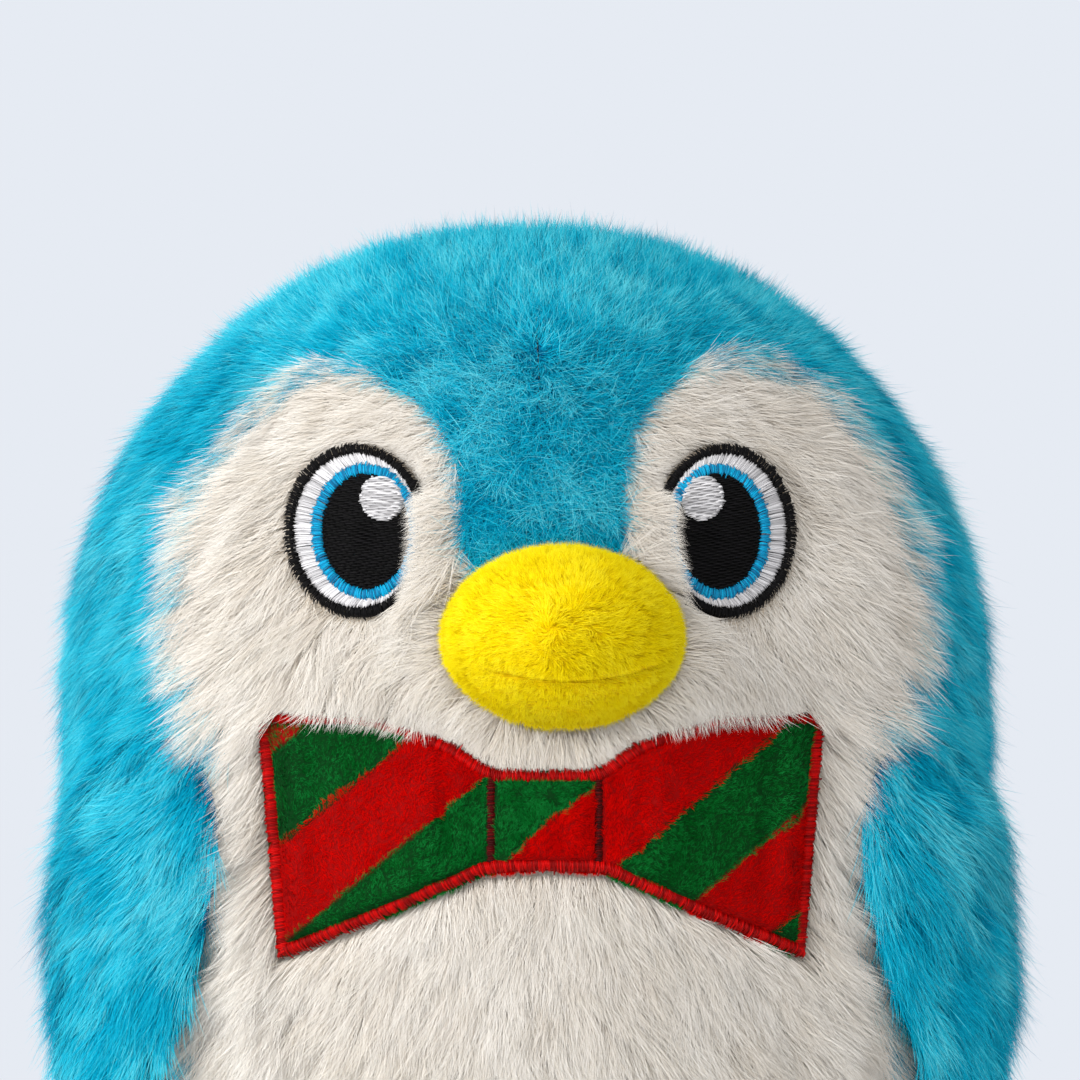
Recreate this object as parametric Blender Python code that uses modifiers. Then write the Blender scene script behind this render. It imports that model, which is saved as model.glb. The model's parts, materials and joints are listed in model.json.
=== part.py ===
"""Plush penguin: fur panels sewn over stuffing, with a sewn beak, embroidered eyes, an applique bow tie,
and flippers, feet and a tail that hinge at their seams.

The penguin faces -Y and stands on Z = 0. Its own right is at -X, so left and right are as seen from the front.
"""
import math

import bmesh
import bpy
from mathutils import Matrix, Vector

# Body: an egg turned about Z, flattened front to back and cut flat at the floor
HEIGHT = 0.232
WIDEST_Z = 0.137
HALF_WIDTH = 0.091
DEPTH_RATIO = 0.84
CROWN_POWER = 2.1
LOWER_POWER = 2.6
LOWER_REACH = 0.175
BELOW_FLOOR = 0.008
REACH = 0.15
CROWN_RINGS = 8
LOWER_RINGS = 7
TURN_STEPS = 36

# Fur panels
PANEL = 0.005
GAP = 0.0003
SIDE_SEAM_Y = 0.024
BASE_PANEL = 0.003

# Pellet pouch inside the base
POUCH_CENTRE = Vector((0.0, 0.0, 0.0150))
POUCH_SEMI = Vector((0.045, 0.038, 0.0165))

# Beak
BEAK_SHIFT = 0.0035
BEAK_CENTRE = Vector((BEAK_SHIFT, -0.076, 0.151))
BEAK_SEMI = Vector((0.0236, 0.025, 0.0179))
BEAK_WALL = 0.002
MOUTH_Z = 0.1422
MOUTH_RISE = 9.0

# Embroidered eyes
EYE_X = 0.0360
EYE_Z = 0.1717
EYE_SEMI = (0.0140, 0.0169)
OUTLINE_WIDTH = 0.0020
IRIS_X = 0.0342
IRIS_Z = 0.1714
IRIS_SEMI = (0.0106, 0.0134)
IRIS_WIDTH = 0.0023
HIGHLIGHT_X = 0.0310
HIGHLIGHT_Z = 0.1777
HIGHLIGHT_SEMI = (0.0043, 0.0045)
THREAD_LAYER = 0.0006

# Bow tie
BOW_FABRIC = 0.0018
BOW_STITCH = 0.0008
BORDER_WIDTH = 0.0030
KNOT_STITCH_X = 0.0104
KNOT_STITCH_WIDTH = 0.0022

# Flippers: leaves that lie round the front corners of the body and hang from a seam along their tops
FLIPPER_AROUND = math.radians(54.0)
FLIPPER_HINGE_Z = 0.130
FLIPPER_OFF_BODY = 0.0048
FLIPPER_TOP = 0.004
FLIPPER_SEMI = Vector((0.0042, 0.025, 0.041))
FLIPPER_TAPER = 0.22
FLIPPER_SLANT = 0.22
FLIPPER_BEND = 0.085
FLIPPER_WALL = 0.0015
FLIPPER_SEAM = 0.0008
FLIPPER_SLACK = 0.0005

# Feet, which hinge at the seam behind the heel
FOOT_CENTRE = Vector((0.037, -0.080, 0.006))
FOOT_SEMI = Vector((0.024, 0.025, 0.016))
FOOT_WALL = 0.002
SOLE = 0.0025
FOOT_HINGE_Y = -0.0575
FOOT_HINGE_Z = 0.012

# Tail, which hinges at its root, and care label
TAIL_CENTRE = Vector((0.0, 0.087, 0.032))
TAIL_SEMI = Vector((0.019, 0.018, 0.0070))
TAIL_HINGE_Y = 0.072
LABEL_SIZE = Vector((0.018, 0.0008, 0.014))
LABEL_Z = 0.026
LABEL_CLEARANCE = 0.0012

BLUE = (28, 160, 200)
WHITE = (223, 213, 203)
YELLOW = (239, 214, 0)
RED = (183, 0, 0)
DARK_RED = (120, 4, 8)
BLACK = (14, 13, 16)
IRIS_BLUE = (10, 140, 195)
THREAD_WHITE = (216, 216, 218)
FILLING = (240, 240, 236)
LINEN = (225, 222, 214)


# ---------------------------------------------------------------- scene and materials

def clear_scene():
    for obj in list(bpy.data.objects):
        bpy.data.objects.remove(obj, do_unlink=True)


def new_collection(name):
    collection = bpy.data.collections.new(name)
    bpy.context.scene.collection.children.link(collection)
    return collection


def linear(channel):
    value = channel / 255.0
    return value / 12.92 if value <= 0.04045 else ((value + 0.055) / 1.055) ** 2.4


def material(name, colour, roughness):
    made = bpy.data.materials.new(name)
    made.use_nodes = True
    shader = made.node_tree.nodes["Principled BSDF"]
    shader.inputs["Base Color"].default_value = (*[linear(c) for c in colour], 1.0)
    shader.inputs["Roughness"].default_value = roughness
    shader.inputs["Metallic"].default_value = 0.0
    return made


def add_part(name, mesh, colour, roughness=0.9):
    """Links a finished mesh as one named sub-part with its own material."""
    obj = bpy.data.objects.new(name, mesh.copy())
    obj.data.materials.clear()
    obj.data.materials.append(material(name, colour, roughness))
    parts.objects.link(obj)
    return obj


def add_cutter(name, mesh):
    obj = bpy.data.objects.new(name, mesh)
    obj.hide_render = True
    obj.display_type = "WIRE"
    cutters.objects.link(obj)
    return obj


def boolean(obj, operation, *tools):
    for tool in tools:
        modifier = obj.modifiers.new(operation.lower() + "_" + tool.name, "BOOLEAN")
        modifier.operation = operation
        modifier.solver = "EXACT"
        modifier.object = tool
    return obj


def baked(obj):
    """The evaluated mesh of an object, which is then removed."""
    bpy.context.view_layer.update()
    depsgraph = bpy.context.evaluated_depsgraph_get()
    mesh = bpy.data.meshes.new_from_object(obj.evaluated_get(depsgraph))
    mesh.transform(obj.matrix_world)
    bpy.data.objects.remove(obj, do_unlink=True)
    return mesh


def set_hinge(obj, point):
    """Moves an object's origin onto its hinge and leaves its shape where it is."""
    obj.data.transform(Matrix.Translation(-point))
    obj.location = point


# ---------------------------------------------------------------- shapes

def egg_half_width(z, lift=0.0):
    """Half width of the body at height z, on a surface lifted off the body by lift."""
    if z >= WIDEST_Z:
        reach = HEIGHT - WIDEST_Z + lift
        power = CROWN_POWER
    else:
        reach = LOWER_REACH + lift
        power = LOWER_POWER
    share = min(abs(z - WIDEST_Z) / reach, 1.0)
    return (HALF_WIDTH + lift) * (1.0 - share ** power) ** (1.0 / power)


def egg_profile(lift):
    """Points down the side of the body from the crown to the floor, on a surface lifted off it by lift."""
    crown = HEIGHT + lift
    profile = [(0.0, crown)]
    for ring in range(1, CROWN_RINGS + 1):
        angle = 0.5 * math.pi * ring / CROWN_RINGS
        z = WIDEST_Z + (crown - WIDEST_Z) * math.cos(angle) ** (2.0 / CROWN_POWER)
        profile.append((egg_half_width(z, lift), z))
    for ring in range(1, LOWER_RINGS + 1):
        z = WIDEST_Z * (1.0 - ring / LOWER_RINGS)
        profile.append((egg_half_width(z, lift), z))
    return profile


def turned_mesh(profile):
    """A profile turned about Z and flattened front to back, as the body is."""
    line = bpy.data.meshes.new("profile")
    line.from_pydata([(x, 0.0, z) for x, z in profile], [(i, i + 1) for i in range(len(profile) - 1)], [])
    turned = bpy.data.objects.new("turned", line)
    cutters.objects.link(turned)
    screw = turned.modifiers.new("turn", "SCREW")
    screw.axis = "Z"
    screw.steps = TURN_STEPS
    screw.render_steps = TURN_STEPS
    screw.use_merge_vertices = True
    screw.merge_threshold = 0.00001
    mesh = baked(turned)
    half_step = Matrix.Rotation(math.pi / TURN_STEPS, 4, "Z")
    mesh.transform(Matrix.Diagonal((1.0, DEPTH_RATIO, 1.0, 1.0)) @ half_step)
    return mesh


def egg_mesh(lift):
    """The whole body as one closed egg that reaches below the floor."""
    bottom = lift - BELOW_FLOOR
    return turned_mesh(egg_profile(lift) + [(egg_half_width(bottom, lift), bottom), (0.0, bottom)])


def layer_mesh(lift, thickness):
    """A skin of even thickness over the body, open at the floor. Its inner face is off the body by lift."""
    return turned_mesh(egg_profile(lift + thickness) + egg_profile(lift)[::-1])


def ellipsoid_mesh(centre, semi, grow=0.0, segments=18, rings=10):
    bm = bmesh.new()
    bmesh.ops.create_uvsphere(bm, u_segments=segments, v_segments=rings, radius=1.0)
    size = Matrix.Diagonal((semi.x + grow, semi.y + grow, semi.z + grow, 1.0))
    bm.transform(Matrix.Translation(centre) @ size)
    return finished(bm, "ellipsoid")


def finished(bm, name):
    for face in bm.faces:
        face.smooth = True
    mesh = bpy.data.meshes.new(name)
    bm.to_mesh(mesh)
    bm.free()
    return mesh


def box_mesh(low, high):
    bm = bmesh.new()
    bmesh.ops.create_cube(bm, size=1.0)
    low = Vector(low)
    high = Vector(high)
    size = Matrix.Diagonal((*(high - low), 1.0))
    bm.transform(Matrix.Translation((low + high) / 2.0) @ size)
    mesh = bpy.data.meshes.new("box")
    bm.to_mesh(mesh)
    bm.free()
    return mesh


def front_prism(name, points, grow=0.0, corners=None, smooth=True):
    """A cutter through the front half of the body from a closed outline of (x, z) points.

    Points named in corners stay sharp. The outline is moved outwards by grow.
    """
    curve = bpy.data.curves.new(name, "CURVE")
    curve.dimensions = "2D"
    curve.fill_mode = "BOTH"
    curve.extrude = 0.1
    curve.offset = grow
    curve.resolution_u = 4
    spline = curve.splines.new("BEZIER" if smooth else "POLY")
    if smooth:
        spline.bezier_points.add(len(points) - 1)
        for number, (control, (x, z)) in enumerate(zip(spline.bezier_points, points)):
            kind = "VECTOR" if corners and number in corners else "AUTO"
            control.co = (x, z, 0.0)
            control.handle_left_type = kind
            control.handle_right_type = kind
    else:
        spline.points.add(len(points) - 1)
        for control, (x, z) in zip(spline.points, points):
            control.co = (x, z, 0.0, 1.0)
    spline.use_cyclic_u = True
    drawn = bpy.data.objects.new(name, curve)
    drawn.matrix_world = Matrix.Translation((0.0, -0.1, 0.0)) @ Matrix.Rotation(math.pi / 2.0, 4, "X")
    cutters.objects.link(drawn)
    mesh = baked(drawn)
    bm = bmesh.new()
    bm.from_mesh(mesh)
    bmesh.ops.remove_doubles(bm, verts=bm.verts, dist=0.000001)
    bmesh.ops.recalc_face_normals(bm, faces=bm.faces)
    bm.to_mesh(mesh)
    bm.free()
    return add_cutter(name, mesh)


def ellipse(x, z, semi, count=22):
    """Points of an ellipse in the (x, z) plane, anticlockwise."""
    turns = [2.0 * math.pi * step / count for step in range(count)]
    return [(x + semi[0] * math.cos(t), z + semi[1] * math.sin(t)) for t in turns]


def mirrored(points):
    """The same outline on the other side of the middle, in the same direction of travel."""
    return [(-x, z) for x, z in reversed(points)]


# ---------------------------------------------------------------- outlines on the front

# One white face panel, from the beak round the eye and back under the beak to the middle
FACE_OUTLINE = [
    (0.0, 0.158), (0.0, 0.128), (0.012, 0.1295), (0.028, 0.136), (0.048, 0.1395), (0.060, 0.1380),
    (0.0655, 0.146), (0.067, 0.160), (0.0640, 0.177), (0.0560, 0.1915), (0.0450, 0.2005),
    (0.033, 0.2015), (0.021, 0.195), (0.0155, 0.182), (0.014, 0.166),
]
FACE_CORNERS = (0, 1, 5)
FACE_INNER_X = 0.020
FACE_LOBE_Z = 0.160
LEFT_FACE_GROWTH = (-0.045, 0.02)
RIGHT_FACE_GROWTH = (0.045, 0.07)

# Half of the belly panel; its top edge lies behind the face panels' lower edges
BELLY_HALF = [
    (0.052, -0.012), (0.060, 0.020), (0.066, 0.040), (0.0675, 0.060), (0.0655, 0.080), (0.062, 0.100),
    (0.0605, 0.118), (0.060, 0.140),
]

# Half of the bow tie, from the knot's top round the lobe to the knot's bottom
BOW_HALF = [
    (0.0, 0.1056), (0.011, 0.1054), (0.030, 0.097), (0.051, 0.088), (0.0535, 0.100), (0.0548, 0.114),
    (0.055, 0.1363), (0.035, 0.1362), (0.019, 0.131), (0.0105, 0.1252), (0.0, 0.125),
]


def grown(points, growth):
    """An outline with its outer edge let out sideways and the top of its lobe let out upwards."""
    across, up = growth
    return [(x + across * max(x - FACE_INNER_X, 0.0), z + up * max(z - FACE_LOBE_Z, 0.0)) for x, z in points]


def bow_outline():
    return BOW_HALF + [point for point in mirrored(BOW_HALF) if point[0] != 0.0]


# ---------------------------------------------------------------- body

def build_body():
    """Seven fur panels, the base, the filling and the pellet pouch."""
    skin = layer_mesh(-PANEL, PANEL)
    half = GAP / 2.0
    belly = BELLY_HALF + mirrored(BELLY_HALF)
    belly_corners = (0, len(BELLY_HALF) - 1, len(BELLY_HALF), len(belly) - 1)
    belly_cut = front_prism("belly_cut", belly, -half, belly_corners)
    belly_room = front_prism("belly_room", belly, half, belly_corners)
    face_room = {}
    left_corners = [len(FACE_OUTLINE) - 1 - corner for corner in FACE_CORNERS]
    for side, outline, corners in (
        ("right", grown(FACE_OUTLINE, RIGHT_FACE_GROWTH), FACE_CORNERS),
        ("left", mirrored(grown(FACE_OUTLINE, LEFT_FACE_GROWTH)), left_corners),
    ):
        face_cut = front_prism("face_cut_" + side, outline, -half, corners)
        face_room[side] = front_prism("face_room_" + side, outline, half, corners)
        face = add_part("face_" + side, skin, WHITE)
        boolean(face, "INTERSECT", face_cut)

    belly_panel = add_part("belly_panel", skin, WHITE)
    boolean(belly_panel, "INTERSECT", belly_cut)
    boolean(belly_panel, "DIFFERENCE", face_room["left"], face_room["right"])

    for side, low_x, high_x in (("left", -REACH, -half), ("right", half, REACH)):
        front_box = box_mesh((low_x, -REACH, -REACH), (high_x, SIDE_SEAM_Y - half, REACH * 2.0))
        rear_box = box_mesh((low_x, SIDE_SEAM_Y + half, -REACH), (high_x, REACH, REACH * 2.0))
        front = add_cutter("front_" + side, front_box)
        rear = add_cutter("rear_" + side, rear_box)
        hood = add_part("hood_" + side, skin, BLUE)
        boolean(hood, "INTERSECT", front)
        boolean(hood, "DIFFERENCE", face_room[side], belly_room)
        back = add_part("back_" + side, skin, BLUE)
        boolean(back, "INTERSECT", rear)

    base_radius = egg_half_width(0.0, -PANEL) - GAP
    base = bmesh.new()
    bmesh.ops.create_cone(base, cap_ends=True, segments=TURN_STEPS, radius1=base_radius, radius2=base_radius,
                          depth=BASE_PANEL)
    raised = Matrix.Translation((0.0, 0.0, BASE_PANEL / 2.0))
    base.transform(raised @ Matrix.Diagonal((1.0, DEPTH_RATIO, 1.0, 1.0)))
    add_part("base_panel", finished(base, "base_panel"), BLUE)

    pouch_room = add_cutter("pouch_room", ellipsoid_mesh(POUCH_CENTRE, POUCH_SEMI, GAP))
    above_box = box_mesh((-REACH, -REACH, BASE_PANEL + GAP), (REACH, REACH, REACH * 2.0))
    above_base = add_cutter("above_base", above_box)
    filling = add_part("body_stuffing", egg_mesh(-PANEL - GAP), FILLING)
    boolean(filling, "INTERSECT", above_base)
    boolean(filling, "DIFFERENCE", pouch_room)
    pouch = add_part("pellet_pouch", ellipsoid_mesh(POUCH_CENTRE, POUCH_SEMI), LINEN)
    boolean(pouch, "INTERSECT", above_base)
    bpy.data.meshes.remove(skin)


# ---------------------------------------------------------------- beak

def build_beak():
    """Two short-pile shells that meet at the mouth crease, over their own filling."""
    half = GAP / 2.0
    face = add_cutter("beak_seat", egg_mesh(GAP))
    hollow = add_cutter("beak_hollow", ellipsoid_mesh(BEAK_CENTRE, BEAK_SEMI, -BEAK_WALL))
    width = BEAK_SEMI.x + 0.004
    crease = [width * (step / 5.0 - 1.0) for step in range(11)]
    lip = [(BEAK_SHIFT + x, MOUTH_Z + MOUTH_RISE * x * x) for x in crease]
    lip = [(BEAK_SHIFT - width, 0.125), (BEAK_SHIFT + width, 0.125)] + lip[::-1]
    lip_cut = front_prism("lip_cut", lip, -half, smooth=False)
    lip_room = front_prism("lip_room", lip, half, smooth=False)
    whole = ellipsoid_mesh(BEAK_CENTRE, BEAK_SEMI, segments=24, rings=12)
    lower = add_part("beak_lower", whole, YELLOW)
    boolean(lower, "DIFFERENCE", face, hollow)
    boolean(lower, "INTERSECT", lip_cut)
    upper = add_part("beak_upper", whole, YELLOW)
    boolean(upper, "DIFFERENCE", face, hollow, lip_room)
    filling = add_part("beak_stuffing", ellipsoid_mesh(BEAK_CENTRE, BEAK_SEMI, -BEAK_WALL - GAP), FILLING)
    boolean(filling, "DIFFERENCE", face)


# ---------------------------------------------------------------- embroidery and bow tie

def build_eyes():
    """Each eye is a black ring round a white field, with the iris ring, pupil and highlight on it."""
    first = layer_mesh(GAP, THREAD_LAYER)
    second = layer_mesh(2.0 * GAP + THREAD_LAYER, THREAD_LAYER)
    third = layer_mesh(3.0 * GAP + 2.0 * THREAD_LAYER, THREAD_LAYER)
    for side, sign in (("left", -1.0), ("right", 1.0)):
        def ring(name, x, z, semi, grow):
            return front_prism(name + "_" + side, ellipse(sign * x, z, semi), grow, smooth=False)

        rim = ring("rim", EYE_X, EYE_Z, EYE_SEMI, 0.0)
        rim_inside = ring("rim_inside", EYE_X, EYE_Z, EYE_SEMI, -OUTLINE_WIDTH)
        field = ring("field", EYE_X, EYE_Z, EYE_SEMI, -OUTLINE_WIDTH - GAP)
        iris = ring("iris", IRIS_X, IRIS_Z, IRIS_SEMI, 0.0)
        iris_inside = ring("iris_inside", IRIS_X, IRIS_Z, IRIS_SEMI, -IRIS_WIDTH)
        pupil = ring("pupil", IRIS_X, IRIS_Z, IRIS_SEMI, -IRIS_WIDTH - GAP)
        spot = ring("spot", HIGHLIGHT_X, HIGHLIGHT_Z, HIGHLIGHT_SEMI, 0.0)
        outline = add_part("eye_outline_" + side, first, BLACK, 0.6)
        boolean(outline, "INTERSECT", rim)
        boolean(outline, "DIFFERENCE", rim_inside)
        boolean(add_part("eye_white_" + side, first, THREAD_WHITE, 0.6), "INTERSECT", field)
        iris_ring = add_part("eye_iris_" + side, second, IRIS_BLUE, 0.55)
        boolean(iris_ring, "INTERSECT", iris)
        boolean(iris_ring, "DIFFERENCE", iris_inside)
        boolean(add_part("eye_pupil_" + side, second, BLACK, 0.6), "INTERSECT", pupil)
        boolean(add_part("eye_highlight_" + side, third, THREAD_WHITE, 0.6), "INTERSECT", spot)
    for mesh in (first, second, third):
        bpy.data.meshes.remove(mesh)


def build_bow_tie():
    """A striped patch on the belly panel, with a satin border and a satin line on each side of the knot."""
    fabric = layer_mesh(GAP, BOW_FABRIC)
    stitches = layer_mesh(2.0 * GAP + BOW_FABRIC, BOW_STITCH)
    outline = bow_outline()
    edge = front_prism("bow_edge", outline, smooth=False)
    inside = front_prism("bow_inside", outline, -BORDER_WIDTH, smooth=False)
    inner_room = front_prism("bow_inner_room", outline, -BORDER_WIDTH - GAP, smooth=False)
    boolean(add_part("bow_tie_fabric", fabric, RED), "INTERSECT", edge)
    border = add_part("bow_border_stitching", stitches, DARK_RED, 0.6)
    boolean(border, "INTERSECT", edge)
    boolean(border, "DIFFERENCE", inside)
    for side, sign in (("left", -1.0), ("right", 1.0)):
        near = sign * KNOT_STITCH_X - KNOT_STITCH_WIDTH / 2.0
        far = sign * KNOT_STITCH_X + KNOT_STITCH_WIDTH / 2.0
        strip = [(near, 0.09), (far, 0.09), (far, 0.14), (near, 0.14)]
        column = front_prism("knot_column_" + side, strip, smooth=False)
        line = add_part("bow_knot_stitch_" + side, stitches, DARK_RED, 0.6)
        boolean(line, "INTERSECT", inner_room, column)
    for mesh in (fabric, stitches):
        bpy.data.meshes.remove(mesh)


# ---------------------------------------------------------------- flippers, feet, tail and label

def flipper_mesh(grow):
    """A flat leaf, broader at its top, that hangs from a hinge at the origin and faces +X."""
    centre = Vector((0.0, 0.0, FLIPPER_TOP - FLIPPER_SEMI.z))
    mesh = ellipsoid_mesh(centre, FLIPPER_SEMI, grow, segments=12, rings=10)
    for vertex in mesh.vertices:
        rise = (vertex.co.z - centre.z) / FLIPPER_SEMI.z
        vertex.co.y *= 1.0 + FLIPPER_TAPER * rise
    return mesh


def flipper_hinge(sign):
    """The middle of a flipper's hinge, just off the body, and the way out from the body there."""
    width = egg_half_width(FLIPPER_HINGE_Z)
    x = sign * width * math.sin(FLIPPER_AROUND)
    y = -DEPTH_RATIO * width * math.cos(FLIPPER_AROUND)
    out = Vector((x, y / DEPTH_RATIO ** 2, 0.0)).normalized()
    return Vector((x, y, FLIPPER_HINGE_Z)) + out * FLIPPER_OFF_BODY, out


def hang_flipper(obj, sign):
    """Slants a finished flipper piece backwards, bends it round the body and hangs it from its hinge."""
    name = obj.name
    colour = obj.data.materials[0]
    mesh = baked(obj)
    for vertex in mesh.vertices:
        vertex.co.y -= sign * FLIPPER_SLANT * vertex.co.z
        vertex.co.x -= vertex.co.y ** 2 / (2.0 * FLIPPER_BEND)
    hinge, out = flipper_hinge(sign)
    turn = Matrix((out, Vector((0.0, 0.0, 1.0)).cross(out), (0.0, 0.0, 1.0))).transposed()
    mesh.transform(turn.to_4x4())
    mesh.materials.clear()
    mesh.materials.append(colour)
    hung = bpy.data.objects.new(name, mesh)
    hung.location = hinge
    parts.objects.link(hung)


def build_flippers():
    half = FLIPPER_SEAM / 2.0
    hollow = add_cutter("flipper_hollow", flipper_mesh(-FLIPPER_WALL))
    outer_half = add_cutter("flipper_outer_half", box_mesh((half, -0.1, -0.1), (0.03, 0.1, 0.1)))
    inner_half = add_cutter("flipper_inner_half", box_mesh((-0.03, -0.1, -0.1), (-half, 0.1, 0.1)))
    whole = flipper_mesh(0.0)
    for side, sign in (("left", -1.0), ("right", 1.0)):
        for face, halves in (("outer_", outer_half), ("inner_", inner_half)):
            panel = add_part("flipper_" + face + side, whole, BLUE)
            boolean(panel, "DIFFERENCE", hollow)
            boolean(panel, "INTERSECT", halves)
            hang_flipper(panel, sign)
        stuffing = flipper_mesh(-FLIPPER_WALL - FLIPPER_SLACK)
        hang_flipper(add_part("flipper_stuffing_" + side, stuffing, FILLING), sign)


def build_feet():
    for side, sign in (("left", -1.0), ("right", 1.0)):
        centre = Vector((sign * FOOT_CENTRE.x, FOOT_CENTRE.y, FOOT_CENTRE.z))
        hollow = add_cutter("foot_hollow_" + side, ellipsoid_mesh(centre, FOOT_SEMI, -FOOT_WALL))
        above = add_cutter("foot_above_" + side,
                           box_mesh((centre.x - 0.04, -0.13, SOLE + GAP), (centre.x + 0.04, -0.03, 0.06)))
        slab = add_cutter("foot_slab_" + side,
                          box_mesh((centre.x - 0.04, -0.13, 0.0), (centre.x + 0.04, -0.03, SOLE)))
        whole = ellipsoid_mesh(centre, FOOT_SEMI)
        top = add_part("foot_top_" + side, whole, YELLOW)
        boolean(top, "DIFFERENCE", hollow)
        boolean(top, "INTERSECT", above)
        boolean(add_part("foot_sole_" + side, whole, YELLOW), "INTERSECT", slab)
        core = ellipsoid_mesh(centre, FOOT_SEMI, -FOOT_WALL - GAP)
        filling = add_part("foot_stuffing_" + side, core, FILLING)
        boolean(filling, "INTERSECT", above)


def build_tail():
    half = GAP / 2.0
    whole = ellipsoid_mesh(TAIL_CENTRE, TAIL_SEMI, segments=16, rings=8)
    for name, low, high in (
        ("tail_upper", TAIL_CENTRE.z + half, 0.06),
        ("tail_under", 0.01, TAIL_CENTRE.z - half),
    ):
        slab = add_cutter(name + "_half", box_mesh((-0.05, 0.05, low), (0.05, 0.15, high)))
        boolean(add_part(name, whole, BLUE), "INTERSECT", slab)


def label_root():
    """Where the care label leaves the left side seam, just off the body."""
    widest = egg_half_width(LABEL_Z + LABEL_SIZE.z / 2.0)
    width = widest * math.sqrt(1.0 - (SIDE_SEAM_Y / (widest * DEPTH_RATIO)) ** 2)
    return Vector((-width - LABEL_CLEARANCE, SIDE_SEAM_Y, LABEL_Z))


def build_care_label():
    root = label_root()
    low = root + Vector((-LABEL_SIZE.x, -LABEL_SIZE.y / 2.0, -LABEL_SIZE.z / 2.0))
    high = root + Vector((0.0, LABEL_SIZE.y / 2.0, LABEL_SIZE.z / 2.0))
    add_part("care_label", box_mesh(low, high), LINEN, 0.7)


def place_hinges():
    """Moves the origins of the feet, tail and label to their joints' axes, as the flippers' already are."""
    bpy.context.view_layer.update()
    for side, sign in (("left", -1.0), ("right", 1.0)):
        heel = Vector((sign * FOOT_CENTRE.x, FOOT_HINGE_Y, FOOT_HINGE_Z))
        for name in ("foot_top_", "foot_sole_", "foot_stuffing_"):
            set_hinge(bpy.data.objects[name + side], heel)
    for name in ("tail_upper", "tail_under"):
        set_hinge(bpy.data.objects[name], Vector((0.0, TAIL_HINGE_Y, TAIL_CENTRE.z)))
    set_hinge(bpy.data.objects["care_label"], label_root())


clear_scene()
parts = new_collection("plush_penguin")
cutters = new_collection("cutters")
build_body()
build_beak()
build_eyes()
build_bow_tie()
build_flippers()
build_feet()
build_tail()
build_care_label()
place_hinges()
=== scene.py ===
"""Looks of the plush penguin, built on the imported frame.

Every pile strand and every stitch is a real strip of mesh. The pile is planted on the smooth form that the
faceted CAD panels stand for, and follows one nap field over the body. Metres throughout, as in the frame.
"""
import json
import math
from dataclasses import dataclass, replace

import bmesh
import bpy
import numpy as np
from mathutils import Matrix, Vector


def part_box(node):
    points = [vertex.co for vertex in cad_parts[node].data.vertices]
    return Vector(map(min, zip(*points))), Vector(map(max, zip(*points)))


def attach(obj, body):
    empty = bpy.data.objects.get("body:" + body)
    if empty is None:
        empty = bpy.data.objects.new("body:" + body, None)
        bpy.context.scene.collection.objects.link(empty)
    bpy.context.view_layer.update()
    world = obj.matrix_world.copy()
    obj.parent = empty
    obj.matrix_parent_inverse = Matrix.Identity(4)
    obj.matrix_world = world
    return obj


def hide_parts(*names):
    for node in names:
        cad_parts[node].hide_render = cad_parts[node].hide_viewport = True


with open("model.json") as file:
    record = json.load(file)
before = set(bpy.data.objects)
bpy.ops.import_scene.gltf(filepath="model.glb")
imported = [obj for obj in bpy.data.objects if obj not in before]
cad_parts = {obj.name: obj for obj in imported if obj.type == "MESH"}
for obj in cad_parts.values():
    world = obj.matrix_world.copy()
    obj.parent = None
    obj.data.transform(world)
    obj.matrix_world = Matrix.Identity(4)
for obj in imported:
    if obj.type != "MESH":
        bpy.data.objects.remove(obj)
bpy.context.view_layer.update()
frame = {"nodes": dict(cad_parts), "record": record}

# ---------------------------------------------------------------- the body's smooth form, as in the frame

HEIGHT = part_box("hood_left")[1].z
HALF_WIDTH = -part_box("hood_left")[0].x
DEPTH_RATIO = 0.84
WIDEST_Z = 0.137
CROWN_POWER = 2.1
LOWER_POWER = 2.6
LOWER_REACH = 0.175
SIDE_SEAM_Y = 0.024
BODY_MIDDLE = np.array((0.0, 0.0, WIDEST_Z))

# Soft swellings of the front beyond the frame: (x, z, spread in x, spread in z, height)
SWELLINGS = (
    (0.033, 0.143, 0.014, 0.010, 0.0035),
    (-0.033, 0.143, 0.014, 0.010, 0.0035),
    (0.060, 0.150, 0.016, 0.018, 0.0030),
    (-0.060, 0.150, 0.016, 0.018, 0.0030),
    (0.0, 0.062, 0.040, 0.028, 0.0025),
)

# ---------------------------------------------------------------- features on the front

EYE_X = 0.0360
EYE_Z = 0.1717
EYE_SEMI = (0.0140, 0.0169)
OUTLINE_WIDTH = 0.0020
IRIS_X = 0.0342
IRIS_Z = 0.1714
IRIS_SEMI = (0.0106, 0.0134)
IRIS_WIDTH = 0.0024
HIGHLIGHT_X = 0.0310
HIGHLIGHT_Z = 0.1777
HIGHLIGHT_SEMI = (0.0043, 0.0044)

BEAK_LOW = Vector(np.minimum(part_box("beak_upper")[0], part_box("beak_lower")[0]))
BEAK_HIGH = Vector(np.maximum(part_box("beak_upper")[1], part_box("beak_lower")[1]))
BEAK_CENTRE = np.array(((BEAK_LOW.x + BEAK_HIGH.x) / 2.0, -0.076, (BEAK_LOW.z + BEAK_HIGH.z) / 2.0))
BEAK_SEMI = np.array(((BEAK_HIGH.x - BEAK_LOW.x) / 2.0, BEAK_CENTRE[1] - BEAK_LOW.y,
                      (BEAK_HIGH.z - BEAK_LOW.z) / 2.0))
MOUTH_Z = 0.1422
MOUTH_RISE = 9.0
CREASE_DEPTH = 0.0019
CREASE_SPREAD = 0.0011
LOWER_SET_BACK = 0.0008
CLOTH_DIP = 0.35
BEAK_WHORL = np.array((0.0, -0.03, 0.004))

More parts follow.
